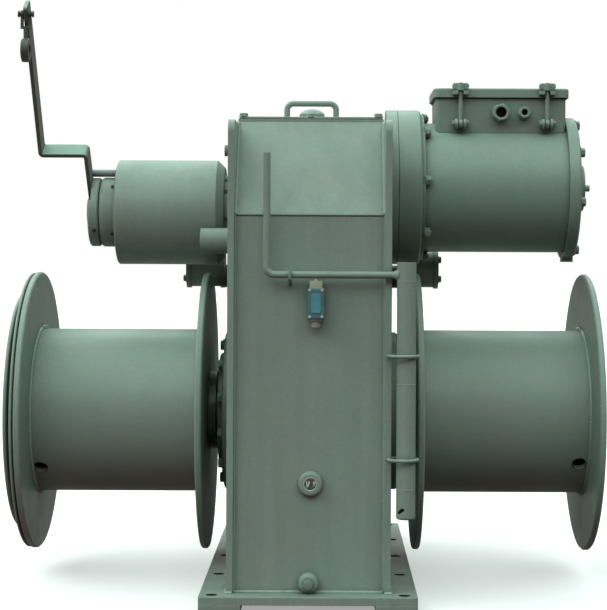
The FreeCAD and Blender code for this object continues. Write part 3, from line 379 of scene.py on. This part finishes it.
# Near black material for the insides of holes: painted shade.
inside = hole_shade("hole_painted_shade")
glass = gauge_glass("gauge_glass")

NODE_FINISH = {
    green_worn: (
        "base_plate foot_rails left_side_plate right_side_plate front_panel rear_panel top_flange case_lid "
        "lid_handle filler_cap bearing_housings idler_shaft_covers crank_shaft_sleeve brake_stop_rod "
        "oil_fittings crank_holders"
    ),
    green: "brake_adapter brake_housing brake_end_cap lever_hub crank_socket crank_rod",
    drum_green: (
        "left_drum_flanges right_drum_flanges left_drum_barrel right_drum_barrel wire_reel_discs "
        "wire_reel_core shaft_end_plates"
    ),
    motor_green: "motor_body motor_end_shield terminal_box_cover cable_glands bolt_brackets",
    swing_green: "left_swing_bolt right_swing_bolt rear_swing_bolts",
    shaded_motor_green: "motor_adapter terminal_box",
    shaded_lever_green: "brake_lever",
    turned: "drum_shaft",
    dark_steel: "lever_pin wire_shackle",
    switch_blue: "limit_switch_body",
    switch_metal: "limit_switch_fittings",
}
for finish, names in NODE_FINISH.items():
    for name in names.split():
        nodes[name].data.materials.clear()
        nodes[name].data.materials.append(finish)


def facing(place, axis):
    """The frame at a place whose own Z runs along the axis."""
    turn = Vector(UP).rotation_difference(Vector(axis)).to_matrix().to_4x4()
    return Matrix.Translation(place) @ turn


def outward(angle):
    """The direction away from a line along X. Angle 0 points to the front, and 90 degrees up."""
    return Vector((0, -math.cos(angle), math.sin(angle)))


def on_circle(x, height, radius, angle):
    """A place on a circle about a line along X. Angle 0 is at the front, and 90 degrees on top."""
    return Vector((x, -radius * math.cos(angle), height + radius * math.sin(angle)))


def skin(mesh, place, loops, cap_start=False, cap_end=True, closed=False):
    """Faces between neighbouring loops of points, which all have the same count."""
    rows = [[mesh.verts.new(place @ Vector(point)) for point in loop] for loop in loops]
    pairs = list(zip(rows, rows[1:]))
    if closed:
        pairs.append((rows[-1], rows[0]))
    for low, high in pairs:
        for index in range(len(low)):
            after = (index + 1) % len(low)
            mesh.faces.new((low[index], low[after], high[after], high[index]))
    if cap_start and not closed:
        mesh.faces.new(rows[0][::-1])
    if cap_end and not closed:
        mesh.faces.new(rows[-1])


def ring_points(radius, height, count=ROUND_POINTS, turn=0.0):
    """Points of a level circle, in the frame of the shape."""
    points = []
    for index in range(count):
        angle = 2 * math.pi * index / count + turn
        points.append((radius * math.cos(angle), radius * math.sin(angle), height))
    return points


def in_mm(*pairs):
    """A profile of (radius, height) pairs that are given in millimetres."""
    return [(radius * MM, height * MM) for radius, height in pairs]


def lathe(mesh, place, profile, count=ROUND_POINTS, cap_start=False, cap_end=True):
    """A turned shape from (radius, height) pairs, about the place's own Z."""
    skin(mesh, place, [ring_points(radius, height, count) for radius, height in profile], cap_start, cap_end)


def piece(name, mesh, finish, body):
    """The mesh as an object with its finish, which rides on the body."""
    data = bpy.data.meshes.new(name)
    bmesh.ops.recalc_face_normals(mesh, faces=mesh.faces)
    mesh.to_mesh(data)
    mesh.free()
    for polygon in data.polygons:
        polygon.use_smooth = True
    data.set_sharp_from_angle(angle=SHARP_ANGLE)
    data.materials.append(finish)
    thing = bpy.data.objects.new(name, data)
    bpy.context.scene.collection.objects.link(thing)
    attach(thing, body)
    return thing


def hexagon(flats, height, turn, trim=None):
    """Points on a hexagon's outline. With trim, the height falls off outside that radius."""
    points = []
    for index in range(ROUND_POINTS):
        angle = 2 * math.pi * index / ROUND_POINTS
        from_flat = (angle % (math.pi / 3)) - math.pi / 6
        radius = flats / 2 / math.cos(from_flat)
        drop = 0.0 if trim is None else max(0.0, radius - trim) * math.tan(math.radians(30))
        points.append((radius * math.cos(angle + turn), radius * math.sin(angle + turn), height - drop))
    return points


def bolt(mesh, place, flats, head, washer=0.0, turn=0.0, stud=0.0):
    """A hex head with chamfered corners on a washer. With stud, a nut with a thread end above it."""
    base = 0.0
    if washer:
        rim = flats * 0.62 + 1.5 * MM
        lathe(mesh, place, [(rim, 0), (rim, washer * 0.7), (rim - 0.5 * MM, washer), (flats * 0.3, washer)])
        base = washer
    top = base + head
    crown = flats / 2 * 0.94
    loops = [hexagon(flats, base, turn), hexagon(flats, top, turn, crown)]
    loops.append(ring_points(crown * 0.98, top, turn=turn))
    skin(mesh, place, loops)
    if stud:
        radius = flats * 0.32
        profile = [(radius, top - 1 * MM)]
        pitch = radius * 0.3
        height = top
        while height < top + stud - pitch:
            profile.append((radius, height + pitch * 0.25))
            profile.append((radius * 0.86, height + pitch * 0.75))
            height += pitch
        profile.append((radius * 0.8, top + stud))
        lathe(mesh, place, profile, 16)


def bead(mesh, points, radius, closed=False, seed=1, sides=6, spacing=3 * MM):
    """A weld bead along the points: overlapping scales of slightly uneven size."""
    chance = random.Random(seed)
    stations = []
    runs = list(zip(points, points[1:] + points[:1])) if closed else list(zip(points, points[1:]))
    for start, end in runs:
        steps = max(1, round((end - start).length / spacing))
        for step in range(steps):
            stations.append(start.lerp(end, step / steps))
    if not closed:
        stations.append(points[-1])
    rows = []
    total = len(stations)
    side = None
    for index, here in enumerate(stations):
        before = stations[index - 1] if index or closed else here
        after = stations[(index + 1) % total] if index < total - 1 or closed else here
        along = (after - before).normalized()
        if side is None:
            side = along.orthogonal().normalized()
        side = (side - along * side.dot(along)).normalized()
        other = along.cross(side)
        scale = radius * (1.0 if index % 2 else 0.84) * chance.uniform(0.94, 1.06)
        if not closed and index in (0, total - 1):
            scale *= 0.6
        row = []
        for corner in range(sides):
            angle = 2 * math.pi * corner / sides
            row.append(here + (side * math.cos(angle) + other * math.sin(angle)) * scale)
        rows.append(row)
    skin(mesh, Matrix.Identity(4), rows, cap_start=True, cap_end=True, closed=closed)


def circle_path(centre, radius, axis, count=72, start=0.0, sweep=2 * math.pi):
    """Points of a circle or an arc about an axis."""
    place = facing(centre, axis)
    whole = abs(sweep) > 2 * math.pi - 0.001
    points = []
    for index in range(count if whole else count + 1):
        angle = start + sweep * index / count
        points.append(place @ Vector((radius * math.cos(angle), radius * math.sin(angle), 0)))
    return points


SCREW_PROFILE = in_mm((4.2, 0), (4.2, 3.6), (3.8, 4.2), (2.2, 4.2), (2.2, 1))


def bearing_bolts():
    """Twelve bolts on each drum bearing flange."""
    mesh = bmesh.new()
    face = case_side + 26.5 * MM
    radius = 148.5 * MM
    for side in (-1, 1):
        for index in range(12):
            angle = 2 * math.pi * (index + 0.5) / 12
            place = Vector((side * face, radius * math.cos(angle), shaft_z + radius * math.sin(angle)))
            bolt(mesh, facing(place, (side, 0, 0)), 19 * MM, 8 * MM, 2.5 * MM, turn=angle)
    piece("bearing_flange_bolts", mesh, green, "winch_frame")


def motor_bolts():
    """Eight nuts on the motor flange, eight bolts round the end shield and four on its bearing cap."""
    mesh = bmesh.new()
    for index in range(8):
        angle = math.radians(3.5 + 45 * index)
        place = facing(on_circle(adapter_high.x, motor_z, 151.5 * MM, angle), MOTOR_SIDE)
        bolt(mesh, place, 19 * MM, 9 * MM, 2.5 * MM, turn=math.pi / 6 - angle, stud=2.5 * MM)
    piece("motor_flange_bolts", mesh, bolt_green, "winch_frame")
    mesh = bmesh.new()
    face = motor_end - 37 * MM
    for index, degrees in enumerate((75.7, 30.7, -14.3, -77, 104.3, 149.3, 194.3, 257)):
        place = facing(on_circle(face, motor_z, 139 * MM, math.radians(degrees)), MOTOR_SIDE)
        bolt(mesh, place, 17 * MM, 8 * MM, 2 * MM, turn=index)
    for index in range(4):
        place = facing(on_circle(face, motor_z, 83 * MM, math.radians(60 + 90 * index)), MOTOR_SIDE)
        bolt(mesh, place, 13 * MM, 6 * MM, 1.6 * MM, turn=index)
    piece("end_shield_bolts", mesh, bolt_green, "winch_frame")


def lid_bolts():
    """Hex bolts round the lid, four along each side and one at the middle of each end."""
    mesh = bmesh.new()
    inset = 8.5 * MM
    half_x = lid_high.x - inset
    half_y = lid_high.y - inset
    places = [(side * half_x, half_y * step / 3) for side in (-1, 1) for step in (-3, -1, 1, 3)]
    places += [(0, -half_y), (0, half_y)]
    for index, (x, y) in enumerate(places):
        place = facing(Vector((x, y, lid_high.z)), UP)
        bolt(mesh, place, 15 * MM, 6.4 * MM, 0.8 * MM, turn=index * 0.7)
    piece("lid_bolts", mesh, green, "winch_frame")


def brake_screws():
    """Small screws in the seams of the brake: at its adapter and at its end cap."""
    mesh = bmesh.new()
    adapter_x = -case_side - 24 * MM
    adapter_radius = 81 * MM
    cap_x = brake_low.x - 8 * MM
    cap_radius = 76 * MM
    spots = [(adapter_x, adapter_radius, degrees) for degrees in (59, 32.5, -10.3, 110, 160, 215, 265)]
    spots += [(cap_x, cap_radius, degrees) for degrees in (44, -38.5, 136, 218.5)]
    for x, radius, degrees in spots:
        out = outward(math.radians(degrees))
        place = Vector((x, 0, brake_z)) + out * (radius - 1 * MM)
        lathe(mesh, facing(place, out), SCREW_PROFILE, 16)
    piece("brake_screws", mesh, dark_steel, "winch_frame")


def case_welds():
    """Beads at the sides of the panels, along their bends, and where the case stands on its base."""
    inner = case_side - 13 * MM
    panel_y = abs(panel_low.y)
    panel_top_y = 307 * MM
    bend_z = 768 * MM
    foot_z = base_high.z
    mesh = bmesh.new()
    for face in (-1, 1):
        for side in (-1, 1):
            x = side * (inner - 0.5 * MM)
            foot = Vector((x, face * panel_y, foot_z))
            bend = Vector((x, face * panel_y, bend_z))
            top = Vector((x, face * panel_top_y, panel_high.z))
            bead(mesh, [foot, bend], 3.4 * MM, seed=7 + side)
            bead(mesh, [bend, top], 4.6 * MM, seed=11 + side)
    piece("panel_welds", mesh, highlit_weld_green, "winch_frame")
    mesh = bmesh.new()
    for face in (-1, 1):
        line = [Vector((x, face * panel_y, bend_z)) for x in (-inner, inner)]
        bead(mesh, line, 2.6 * MM, seed=17 + face)
    piece("panel_bend_welds", mesh, bolt_green, "winch_frame")
    mesh = bmesh.new()
    for side in (-1, 1):
        outer = side * (case_side + 0.5 * MM)
        end = abs(case_front) + 0.5 * MM
        corners = [(side * inner, -end), (outer, -end), (outer, end), (side * inner, end)]
        bead(mesh, [Vector((x, y, foot_z)) for x, y in corners], 5 * MM, seed=21 + side)
        y = side * (panel_y + 0.5 * MM)
        bead(mesh, [Vector((x, y, foot_z)) for x in (-inner, inner)], 5 * MM, seed=25 + side)
    piece("base_welds", mesh, highlit_weld_green, "winch_frame")


def drum_welds():
    """Beads round both ends of both barrels, with a lump on top of each outer one."""
    mesh = bmesh.new()
    radius = barrel_radius + 0.5 * MM
    for seed, x in enumerate((barrel_low.x, barrel_high.x, left_barrel_low.x, left_barrel_high.x)):
        path = circle_path(Vector((x, 0, shaft_z)), radius, MOTOR_SIDE, 96)
        bead(mesh, path, 5.5 * MM, closed=True, seed=40 + seed)
    start = math.radians(174)
    sweep = math.radians(12)
    for seed, x in enumerate((left_barrel_low.x + 3 * MM, barrel_high.x - 3 * MM)):
        path = circle_path(Vector((x, 0, shaft_z)), radius, MOTOR_SIDE, 8, start, sweep)
        bead(mesh, path, 8.5 * MM, seed=50 + seed, spacing=4 * MM, sides=8)
    piece("drum_welds", mesh, highlit_weld_green, "rope_drums")


def small_welds():
    """Beads at the crank sleeve, at the feet of the lid handle and at the stop rod."""
    mesh = bmesh.new()
    low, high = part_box("crank_shaft_sleeve")
    sleeve = Vector((-case_side, (low.y + high.y) / 2, (low.z + high.z) / 2))
    bead(mesh, circle_path(sleeve, 27 * MM, MOTOR_SIDE, 40), 3.5 * MM, closed=True, seed=61)
    low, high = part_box("lid_handle")
    for x in (low.x + 5.5 * MM, high.x - 5.5 * MM):
        foot = Vector((x, (low.y + high.y) / 2, lid_high.z))
        bead(mesh, circle_path(foot, 6 * MM, UP, 20), 2.2 * MM, closed=True, seed=62, spacing=2 * MM)
    low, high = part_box("brake_stop_rod")
    rod = Vector((brake_low.x, (low.y + high.y) / 2, (low.z + high.z) / 2))
    bead(mesh, circle_path(rod, 8.5 * MM, MOTOR_SIDE, 24), 2.5 * MM, closed=True, seed=63, spacing=2 * MM)
    piece("fitting_welds", mesh, green, "winch_frame")


def crank_welds():
    """The fillet where the arm enters the tube and the beads round the tube."""
    mesh = bmesh.new()
    low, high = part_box("crank_socket")
    centre_x = (low.x + high.x) / 2
    centre_y = (low.y + high.y) / 2
    radius = (high.x - low.x) / 2
    arm_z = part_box("crank_rod")[0].z + 7 * MM
    joint = facing(Vector((centre_x - radius + 3 * MM, centre_y, arm_z)), BRAKE_SIDE)
    lathe(mesh, joint, in_mm((12.5, 0), (11, 3), (9, 5.5), (7.6, 8.5), (6.8, 10)), 28)
    for seed, z in enumerate((639 * MM, 439 * MM, 235.6 * MM)):
        path = circle_path(Vector((centre_x, centre_y, z)), radius - 0.8 * MM, UP, 40)
        bead(mesh, path, 1.6 * MM, closed=True, seed=70 + seed, spacing=2.4 * MM)
    piece("crank_welds", mesh, green, "hand_crank")


def oil_glass():
    """The domed lens of the oil glass and the ring that holds it in its recess."""
    recess = 14 * MM
    place = facing(Vector((SIGHT_X, panel_low.y - recess, SIGHT_Z)), FRONT)
    mesh = bmesh.new()
    dome = in_mm((13.4, -2.9), (13.4, -1.9), (11.5, -1.0), (8.5, -0.4), (5, 0.1), (2, 0.3), (0.3, 0.34))
    lathe(mesh, place, dome, 40)
    piece("gauge_lens", mesh, glass, "winch_frame")
    mesh = bmesh.new()
    ring = in_mm((13.9, -2.9), (13.9, 0.3), (13.3, 0.8), (11.9, 0.5), (11.3, -0.8))
    lathe(mesh, place, ring, 40, cap_end=False)
    piece("gauge_ring", mesh, zinc, "winch_frame")


def drain_plug():
    """The hex head of the drain plug with its sealing washer."""
    drain_z = oil_low.z + 20 * MM
    boss_y = panel_low.y - 22 * MM
    mesh = bmesh.new()
    washer = in_mm((12, 0), (12, 1.8), (9, 2.2))
    lathe(mesh, facing(Vector((0, boss_y, drain_z)), FRONT), washer, 28, cap_end=False)
    bolt(mesh, facing(Vector((0, oil_low.y, drain_z)), FRONT), 18 * MM, 6 * MM, turn=0.3)
    piece("drain_plug_head", mesh, bolt_green, "winch_frame")


def limit_switch():
    """Screws, a raised panel without a name on it, and the nut of the cable entry."""
    low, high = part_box("limit_switch_body")
    centre_x = (low.x + high.x) / 2
    inset = 4.5 * MM
    screw = in_mm((2.9, 0), (2.9, 0.9), (2.3, 1.5), (0.4, 1.7))
    mesh = bmesh.new()
    for x in (low.x + inset, high.x - inset):
        for z in (low.z + inset, high.z - inset):
            lathe(mesh, facing(Vector((x, low.y, z)), FRONT), screw, 16)
    piece("switch_screws", mesh, zinc, "winch_frame")
    mesh = bmesh.new()
    centre = Vector((centre_x, low.y, (low.z + high.z) / 2))
    add_plate(mesh, centre, width=19 * MM, height=38 * MM, thickness=1.2 * MM, corner=4 * MM)
    piece("switch_cover_panel", mesh, switch_cover, "winch_frame")
    mesh = bmesh.new()
    place = facing(Vector((centre_x, (low.y + high.y) / 2, low.z)), DOWN)
    flats = 22 * MM
    depth = 5 * MM
    turn = 0.2
    loops = [hexagon(flats, 0, turn), hexagon(flats, depth, turn, 10 * MM)]
    loops.append(ring_points(9.6 * MM, depth, turn=turn))
    skin(mesh, place, loops)
    piece("switch_entry_nut", mesh, zinc, "winch_frame")


def add_plate(mesh, centre, width, height, thickness, corner, count=6):
    """A raised plate with round corners that faces the front."""
    outline = []
    for quarter, (sign_x, sign_z) in enumerate(((1, 1), (-1, 1), (-1, -1), (1, -1))):
        for step in range(count + 1):
            angle = math.pi / 2 * (quarter + step / count)
            x = sign_x * (width / 2 - corner) + corner * math.cos(angle)
            z = sign_z * (height / 2 - corner) + corner * math.sin(angle)
            outline.append((x, z))
    bevel = thickness * 0.5
    loops = []
    for depth, shrink in ((0, 0), (thickness - bevel, 0), (thickness, bevel)):
        scale_x = 1 - shrink / width * 2
        scale_z = 1 - shrink / height * 2
        loops.append([(x * scale_x, -depth, z * scale_z) for x, z in outline])
    skin(mesh, Matrix.Translation(centre), loops)


def gaskets_and_cover_shadow():
    """The thin gasket between the terminal box and its cover, black and standing out so that it also paints
    the shadow under the cover's edge, and the one under the case lid.
    """
    mesh = bmesh.new()
    low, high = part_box("terminal_box")
    # The terminal box gasket is black and stands out 2 mm: a real gasket that also paints the shadow under
    # the cover's edge.
    add_band(mesh, low, high, 2 * MM, high.z - 2.4 * MM, high.z - 0.05 * MM)
    add_band(mesh, lid_low, lid_high, 0.8 * MM, lid_low.z, lid_low.z + 1.6 * MM)
    piece("gasket_and_cover_shadow_bands", mesh, gasket_rubber_and_shadow, "winch_frame")


def add_band(mesh, low, high, out, bottom, top):
    """A closed band round a box, 3 mm thick, that stands out from its sides."""
    x0 = low.x - out
    x1 = high.x + out
    y0 = low.y - out
    y1 = high.y + out
    loops = []
    for inset, z in ((3 * MM, bottom), (0, bottom), (0, top), (3 * MM, top)):
        ends_x = (x0 + inset, x1 - inset, x1 - inset, x0 + inset)
        ends_y = (y0 + inset, y0 + inset, y1 - inset, y1 - inset)
        loops.append([(x, y, z) for x, y in zip(ends_x, ends_y)])
    skin(mesh, Matrix.Identity(4), loops, cap_end=False, closed=True)


def bolt_threads():
    """Threads on the swing bolts, above and below their wing nuts."""
    for node, body in SWING_BOLTS.items():
        mesh = bmesh.new()
        low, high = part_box(node)
        add_thread(mesh, (low.x + high.x) / 2, (low.y + high.y) / 2, high.z)
        piece(node + "_thread", mesh, swing_green, body)
    mesh = bmesh.new()
    low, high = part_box("rear_swing_bolts")
    for x in (low.x + 18 * MM, high.x - 18 * MM):
        add_thread(mesh, x, (low.y + high.y) / 2, high.z)
    piece("rear_swing_bolt_threads", mesh, motor_green, "winch_frame")


def add_thread(mesh, x, y, top):
    """A helical ridge down the rod from its end."""
    radius = 4.5 * MM
    pitch = 1.5 * MM
    turns = 26
    steps = 10
    rows = []
    for index in range(turns * steps + 1):
        angle = 2 * math.pi * index / steps
        height = top - 1 * MM - pitch * index / steps
        point = Vector((x + radius * math.cos(angle), y + radius * math.sin(angle), height))
        out = Vector((point.x - x, point.y - y, 0)).normalized()
        root = out * 0.3 * MM
        rise = Vector(UP) * 0.6 * MM
        rows.append([point - root + rise, point + out * 0.35 * MM, point - root - rise])
    skin(mesh, Matrix.Identity(4), rows, cap_start=True)


def rope_hole_rims():
    """The bare rims of the rope end holes, rubbed bright by the rope."""
    mesh = bmesh.new()
    hole_radius = 14.5 * MM
    rim = hole_radius + 0.6 * MM
    count = 36
    for x, degrees_below_front in ((left_barrel_low.x + 18.5 * MM, 39.5), (barrel_high.x - 22 * MM, 34)):
        path = []
        for index in range(count):
            turn = 2 * math.pi * index / count
            angle = math.radians(degrees_below_front) + rim * math.sin(turn) / barrel_radius
            path.append(Vector((x + rim * math.cos(turn), 0, shaft_z)) + outward(-angle) * barrel_radius)
        bead(mesh, path, 0.9 * MM, closed=True, seed=90, spacing=2 * MM)
    piece("rope_hole_rims", mesh, turned, "rope_drums")


def gland_insides():
    """Painted shade in the bores of the two cable glands as near black sleeves and bottoms, and the clamp
    nuts on their ends.
    """
    low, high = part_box("cable_glands")
    z = (low.z + high.z) / 2
    depth = high.y - low.y
    front = depth + 0.7 * MM
    turn = 0.26
    bores = bmesh.new()
    nuts = bmesh.new()
    large = (low.x + 19 * MM, 16 * MM, 11.5 * MM)
    small = (high.x - 13.5 * MM, 10.5 * MM, 6.5 * MM)
    for x, radius, bore in (large, small):
        place = facing(Vector((x, high.y, z)), FRONT)
        skin_radius = bore - 0.15 * MM
        bottom = 0.5 * MM
        profile = [(skin_radius, depth - 0.4 * MM), (skin_radius, bottom), (0.3 * MM, bottom)]
        lathe(bores, place, profile, 28)
        flats = 2 * radius + 1.6 * MM
        loops = [hexagon(flats, depth - 9 * MM, turn), hexagon(flats, front, turn, flats / 2 * 0.97)]
        loops.append(ring_points(radius - 1.5 * MM, front, turn=turn))
        loops.append(ring_points(bore + 0.6 * MM, front - 1.2 * MM, turn=turn))
        skin(nuts, place, loops, cap_end=False)
    piece("gland_bores", bores, inside, "winch_frame")
    piece("gland_nuts", nuts, motor_green, "winch_frame")


def pivot_nuts():
    """A washer and a nut on both ends of each pin that a swing bolt turns on."""
    mesh = bmesh.new()
    ear = 11.3 * MM
    eye_radius = 9 * MM
    for index, node in enumerate(SWING_BOLTS):
        low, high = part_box(node)
        centre = Vector(((low.x + high.x) / 2, (low.y + high.y) / 2, low.z + eye_radius))
        for row in (-1, 1):
            for side in (-1, 1):
                place = Vector((centre.x + side * ear, row * abs(centre.y), centre.z))
                bolt(mesh, facing(place, (side, 0, 0)), 15 * MM, 5 * MM, 1.4 * MM, turn=0.4 + index + side)
    piece("pivot_nuts", mesh, bolt_green, "winch_frame")


def hub_set_screw():
    """The screw that locks the lever hub to its bushing."""
    low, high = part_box("lever_hub")
    middle = Vector(((low.x + high.x) / 2 + 3 * MM, 0, brake_z))
    out = outward(math.radians(-33))
    mesh = bmesh.new()
    lathe(mesh, facing(middle + out * 74 * MM, out), SCREW_PROFILE, 16)
    piece("hub_set_screw", mesh, dark_steel, "lever")


def idler_bolts():
    """Four bolts on the outer face of each idler shaft cover."""
    low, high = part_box("idler_shaft_covers")
    cover_radius = 44 * MM
    mesh = bmesh.new()
    for side in (-1, 1):
        centre = Vector((side * high.x, (low.y + high.y) / 2, high.z - cover_radius))
        for index in range(4):
            angle = math.radians(45 + 90 * index)
            from_centre = Vector((0, math.cos(angle), math.sin(angle))) * 31 * MM
            place = facing(centre + from_centre, (side, 0, 0))
            bolt(mesh, place, 13 * MM, 5.5 * MM, 1.5 * MM, turn=index)
    piece("idler_cover_bolts", mesh, bolt_green, "winch_frame")


def end_plate_screws():
    """Six flat socket screws in each shaft end plate."""
    low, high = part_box("shaft_end_plates")
    screw = in_mm((11, 0), (11, 1.4), (10.2, 2.2), (5, 2.2), (5, 0.4))
    radius = 56 * MM
    mesh = bmesh.new()
    for x, axis in ((low.x, BRAKE_SIDE), (high.x, MOTOR_SIDE)):
        for index in range(6):
            angle = math.radians(60 * index + 30)
            place = Vector((x, radius * math.cos(angle), shaft_z + radius * math.sin(angle)))
            lathe(mesh, facing(place, axis), screw, 20)
    piece("end_plate_screws", mesh, bolt_green, "rope_drums")


def base_hole_insides():
    """Painted shade in the bores of the base bolt holes, which stay open, as near black sleeves."""
    mesh = bmesh.new()
    row_x = base_high.x - 25 * MM
    end_margin = 29 * MM
    pitch = (base_high.y - base_low.y - 2 * end_margin) / 4
    radius = 12 * MM - 0.15 * MM
    for side in (-1, 1):
        for index in range(5):
            place = Matrix.Translation((side * row_x, base_low.y + end_margin + pitch * index, 0))
            lathe(mesh, place, [(radius, 0.5 * MM), (radius, base_high.z - 0.6 * MM)], 32, cap_end=False)
    piece("base_hole_bores", mesh, inside, "winch_frame")


bearing_bolts()
motor_bolts()
lid_bolts()
brake_screws()
case_welds()
drum_welds()
small_welds()
crank_welds()
oil_glass()
drain_plug()
limit_switch()
gaskets_and_cover_shadow()
bolt_threads()
rope_hole_rims()
gland_insides()
pivot_nuts()
hub_set_screw()
idler_bolts()
end_plate_screws()
base_hole_insides()

# The floor: its look for the camera, and the light that it throws back near the object and far from it
FLOOR_SEEN = rgb(214, 210, 211)
FLOOR_GLOW = 0.36
FLOOR_NEAR = (0.098, 0.036, 0.03, 1.0)
FLOOR_FAR = (0.02, 0.007, 0.007, 1.0)
FLOOR_REACH = 30.0

# The sky's light, from straight below at 0 over the horizon at 0.5 to straight above at 1
SKY_RINGS = (
    (0.49, (0.01, 0.006, 0.005, 1.0)),
    (0.51, (0.24, 0.11, 0.12, 1.0)),
    (0.645, (0.34, 0.11, 0.15, 1.0)),
    (0.71, (0.95, 0.86, 0.87, 1.0)),
    (0.78, (2.5, 3.3, 3.04, 1.0)),
    (0.9, (1.62, 2.2, 2.0, 1.0)),
    (1.0, (0.86, 1.06, 1.02, 1.0)),
)

# How much stronger its light is from the brake's side, and weaker from the motor's
SKY_LEAN = 0.46

# The share of the white background in the rays that metal and glass mirror or pass on
BACKGROUND_IN_MIRRORS = 0.2


def background_ray(tree):
    """1 for the camera's own rays, and a share of it for the rays that metal and glass mirror or pass on."""
    path = tree.add("ShaderNodeLightPath").outputs
    either = tree.combine("MAXIMUM", path["Is Glossy Ray"], path["Is Transmission Ray"])
    inputs = {0: either, 1: BACKGROUND_IN_MIRRORS, 2: path["Is Camera Ray"]}
    return tree.add("ShaderNodeMath", inputs, operation="MULTIPLY_ADD", use_clamp=True).outputs[0]


def floor_finish():
    """White where the camera sees it. It throws back dim light, warm under the object."""
    finish = Finish("floor")
    seen = background_ray(finish)
    cloud = finish.noise(0.7, detail=3)
    shifted = finish.vectors("ADD", finish.place, (0.5, 0, 0))[0]
    reach = finish.vectors("LENGTH", shifted)["Value"]
    away = finish.plus(reach, finish.times(cloud, 0.3))
    thrown = finish.mix(finish.span(away, 0.6, 1.9), FLOOR_NEAR, FLOOR_FAR)
    finish.set(Base_Color=finish.mix(seen, thrown, FLOOR_SEEN))
    finish.set(Emission_Color=(1.0, 1.0, 1.0, 1.0), Emission_Strength=finish.times(seen, FLOOR_GLOW))
    finish.set(Roughness=finish.span(cloud, 0.3, 0.7, 0.85, 0.95))
    finish.set(Specular_IOR_Level=0.1)
    return finish.material


def add_floor():
    """A wide level floor under the object."""
    mesh = bmesh.new()
    signs = ((-1, -1), (1, -1), (1, 1), (-1, 1))
    mesh.faces.new([mesh.verts.new((x * FLOOR_REACH, y * FLOOR_REACH, 0)) for x, y in signs])
    data = bpy.data.meshes.new("floor")
    mesh.to_mesh(data)
    mesh.free()
    floor = bpy.data.objects.new("floor", data)
    bpy.context.scene.collection.objects.link(floor)
    data.materials.append(floor_finish())


def add_lamp(name, place, target, width, depth, power):
    """A soft lamp at a place, turned toward a target."""
    data = bpy.data.lights.new(name, "AREA")
    data.shape = "RECTANGLE"
    data.size = width
    data.size_y = depth
    data.energy = power
    lamp = bpy.data.objects.new(name, data)
    lamp.location = place
    lamp.rotation_euler = (Vector(target) - Vector(place)).to_track_quat("-Z", "Y").to_euler()
    bpy.context.scene.collection.objects.link(lamp)


def sky_finish():
    """White behind the object. For its light: bright overhead, falling off to the horizon."""
    world = bpy.data.worlds.new("studio_sky")
    bpy.context.scene.world = world
    world.use_nodes = True
    world.node_tree.nodes.clear()
    tree = Tree(world.node_tree)
    toward = tree.axes(tree.add("ShaderNodeTexCoord").outputs["Generated"])
    ramp = tree.add("ShaderNodeValToRGB", {0: tree.span(toward["Z"], -1.0, 1.0)})
    rings = ramp.color_ramp.elements
    while len(rings) < len(SKY_RINGS):
        rings.new(0.5)
    for ring, (position, colour) in zip(rings, SKY_RINGS):
        ring.position = position
        ring.color = colour
    lean = tree.span(toward["X"], -1.0, 1.0, 1.0 + SKY_LEAN, 1.0 - SKY_LEAN)
    sky = tree.add("ShaderNodeBackground", {"Color": ramp.outputs[0], "Strength": lean})
    white = tree.add("ShaderNodeBackground", {"Color": (1, 1, 1, 1)})
    both = {0: background_ray(tree), 1: sky.outputs[0], 2: white.outputs[0]}
    mixed = tree.add("ShaderNodeMixShader", both).outputs[0]
    tree.add("ShaderNodeOutputWorld", {"Surface": mixed})


# The camera's place and framing, solved from the evenly spaced base holes
CAMERA_PLACE = (0.036, -3.905, 0.676)
IMAGE_HEIGHT = 610
FOCAL_PIXELS = 1775
HORIZON_ABOVE_CENTRE = 43.0
AXIS_RIGHT_OF_CENTRE = 24.7
CAMERA_ROLL = math.radians(0.27)


def add_camera():
    """The camera of the photo."""
    data = bpy.data.cameras.new("photo_view")
    data.lens = FOCAL_PIXELS / IMAGE_HEIGHT * data.sensor_width
    data.shift_x = -AXIS_RIGHT_OF_CENTRE / IMAGE_HEIGHT
    data.shift_y = -HORIZON_ABOVE_CENTRE / IMAGE_HEIGHT
    camera = bpy.data.objects.new("photo_view", data)
    camera.location = CAMERA_PLACE
    level = Matrix.Rotation(math.radians(90), 4, "X")
    camera.rotation_euler = (level @ Matrix.Rotation(CAMERA_ROLL, 4, "Z")).to_euler()
    bpy.context.scene.collection.objects.link(camera)
    bpy.context.scene.camera = camera


add_floor()
add_lamp("overhead", place=(-0.8, 0.3, 3.6), target=(0, 0, 0.5), width=3.0, depth=2.6, power=16)
sky_finish()
add_camera()
bpy.context.scene.view_settings.view_transform = "Standard"
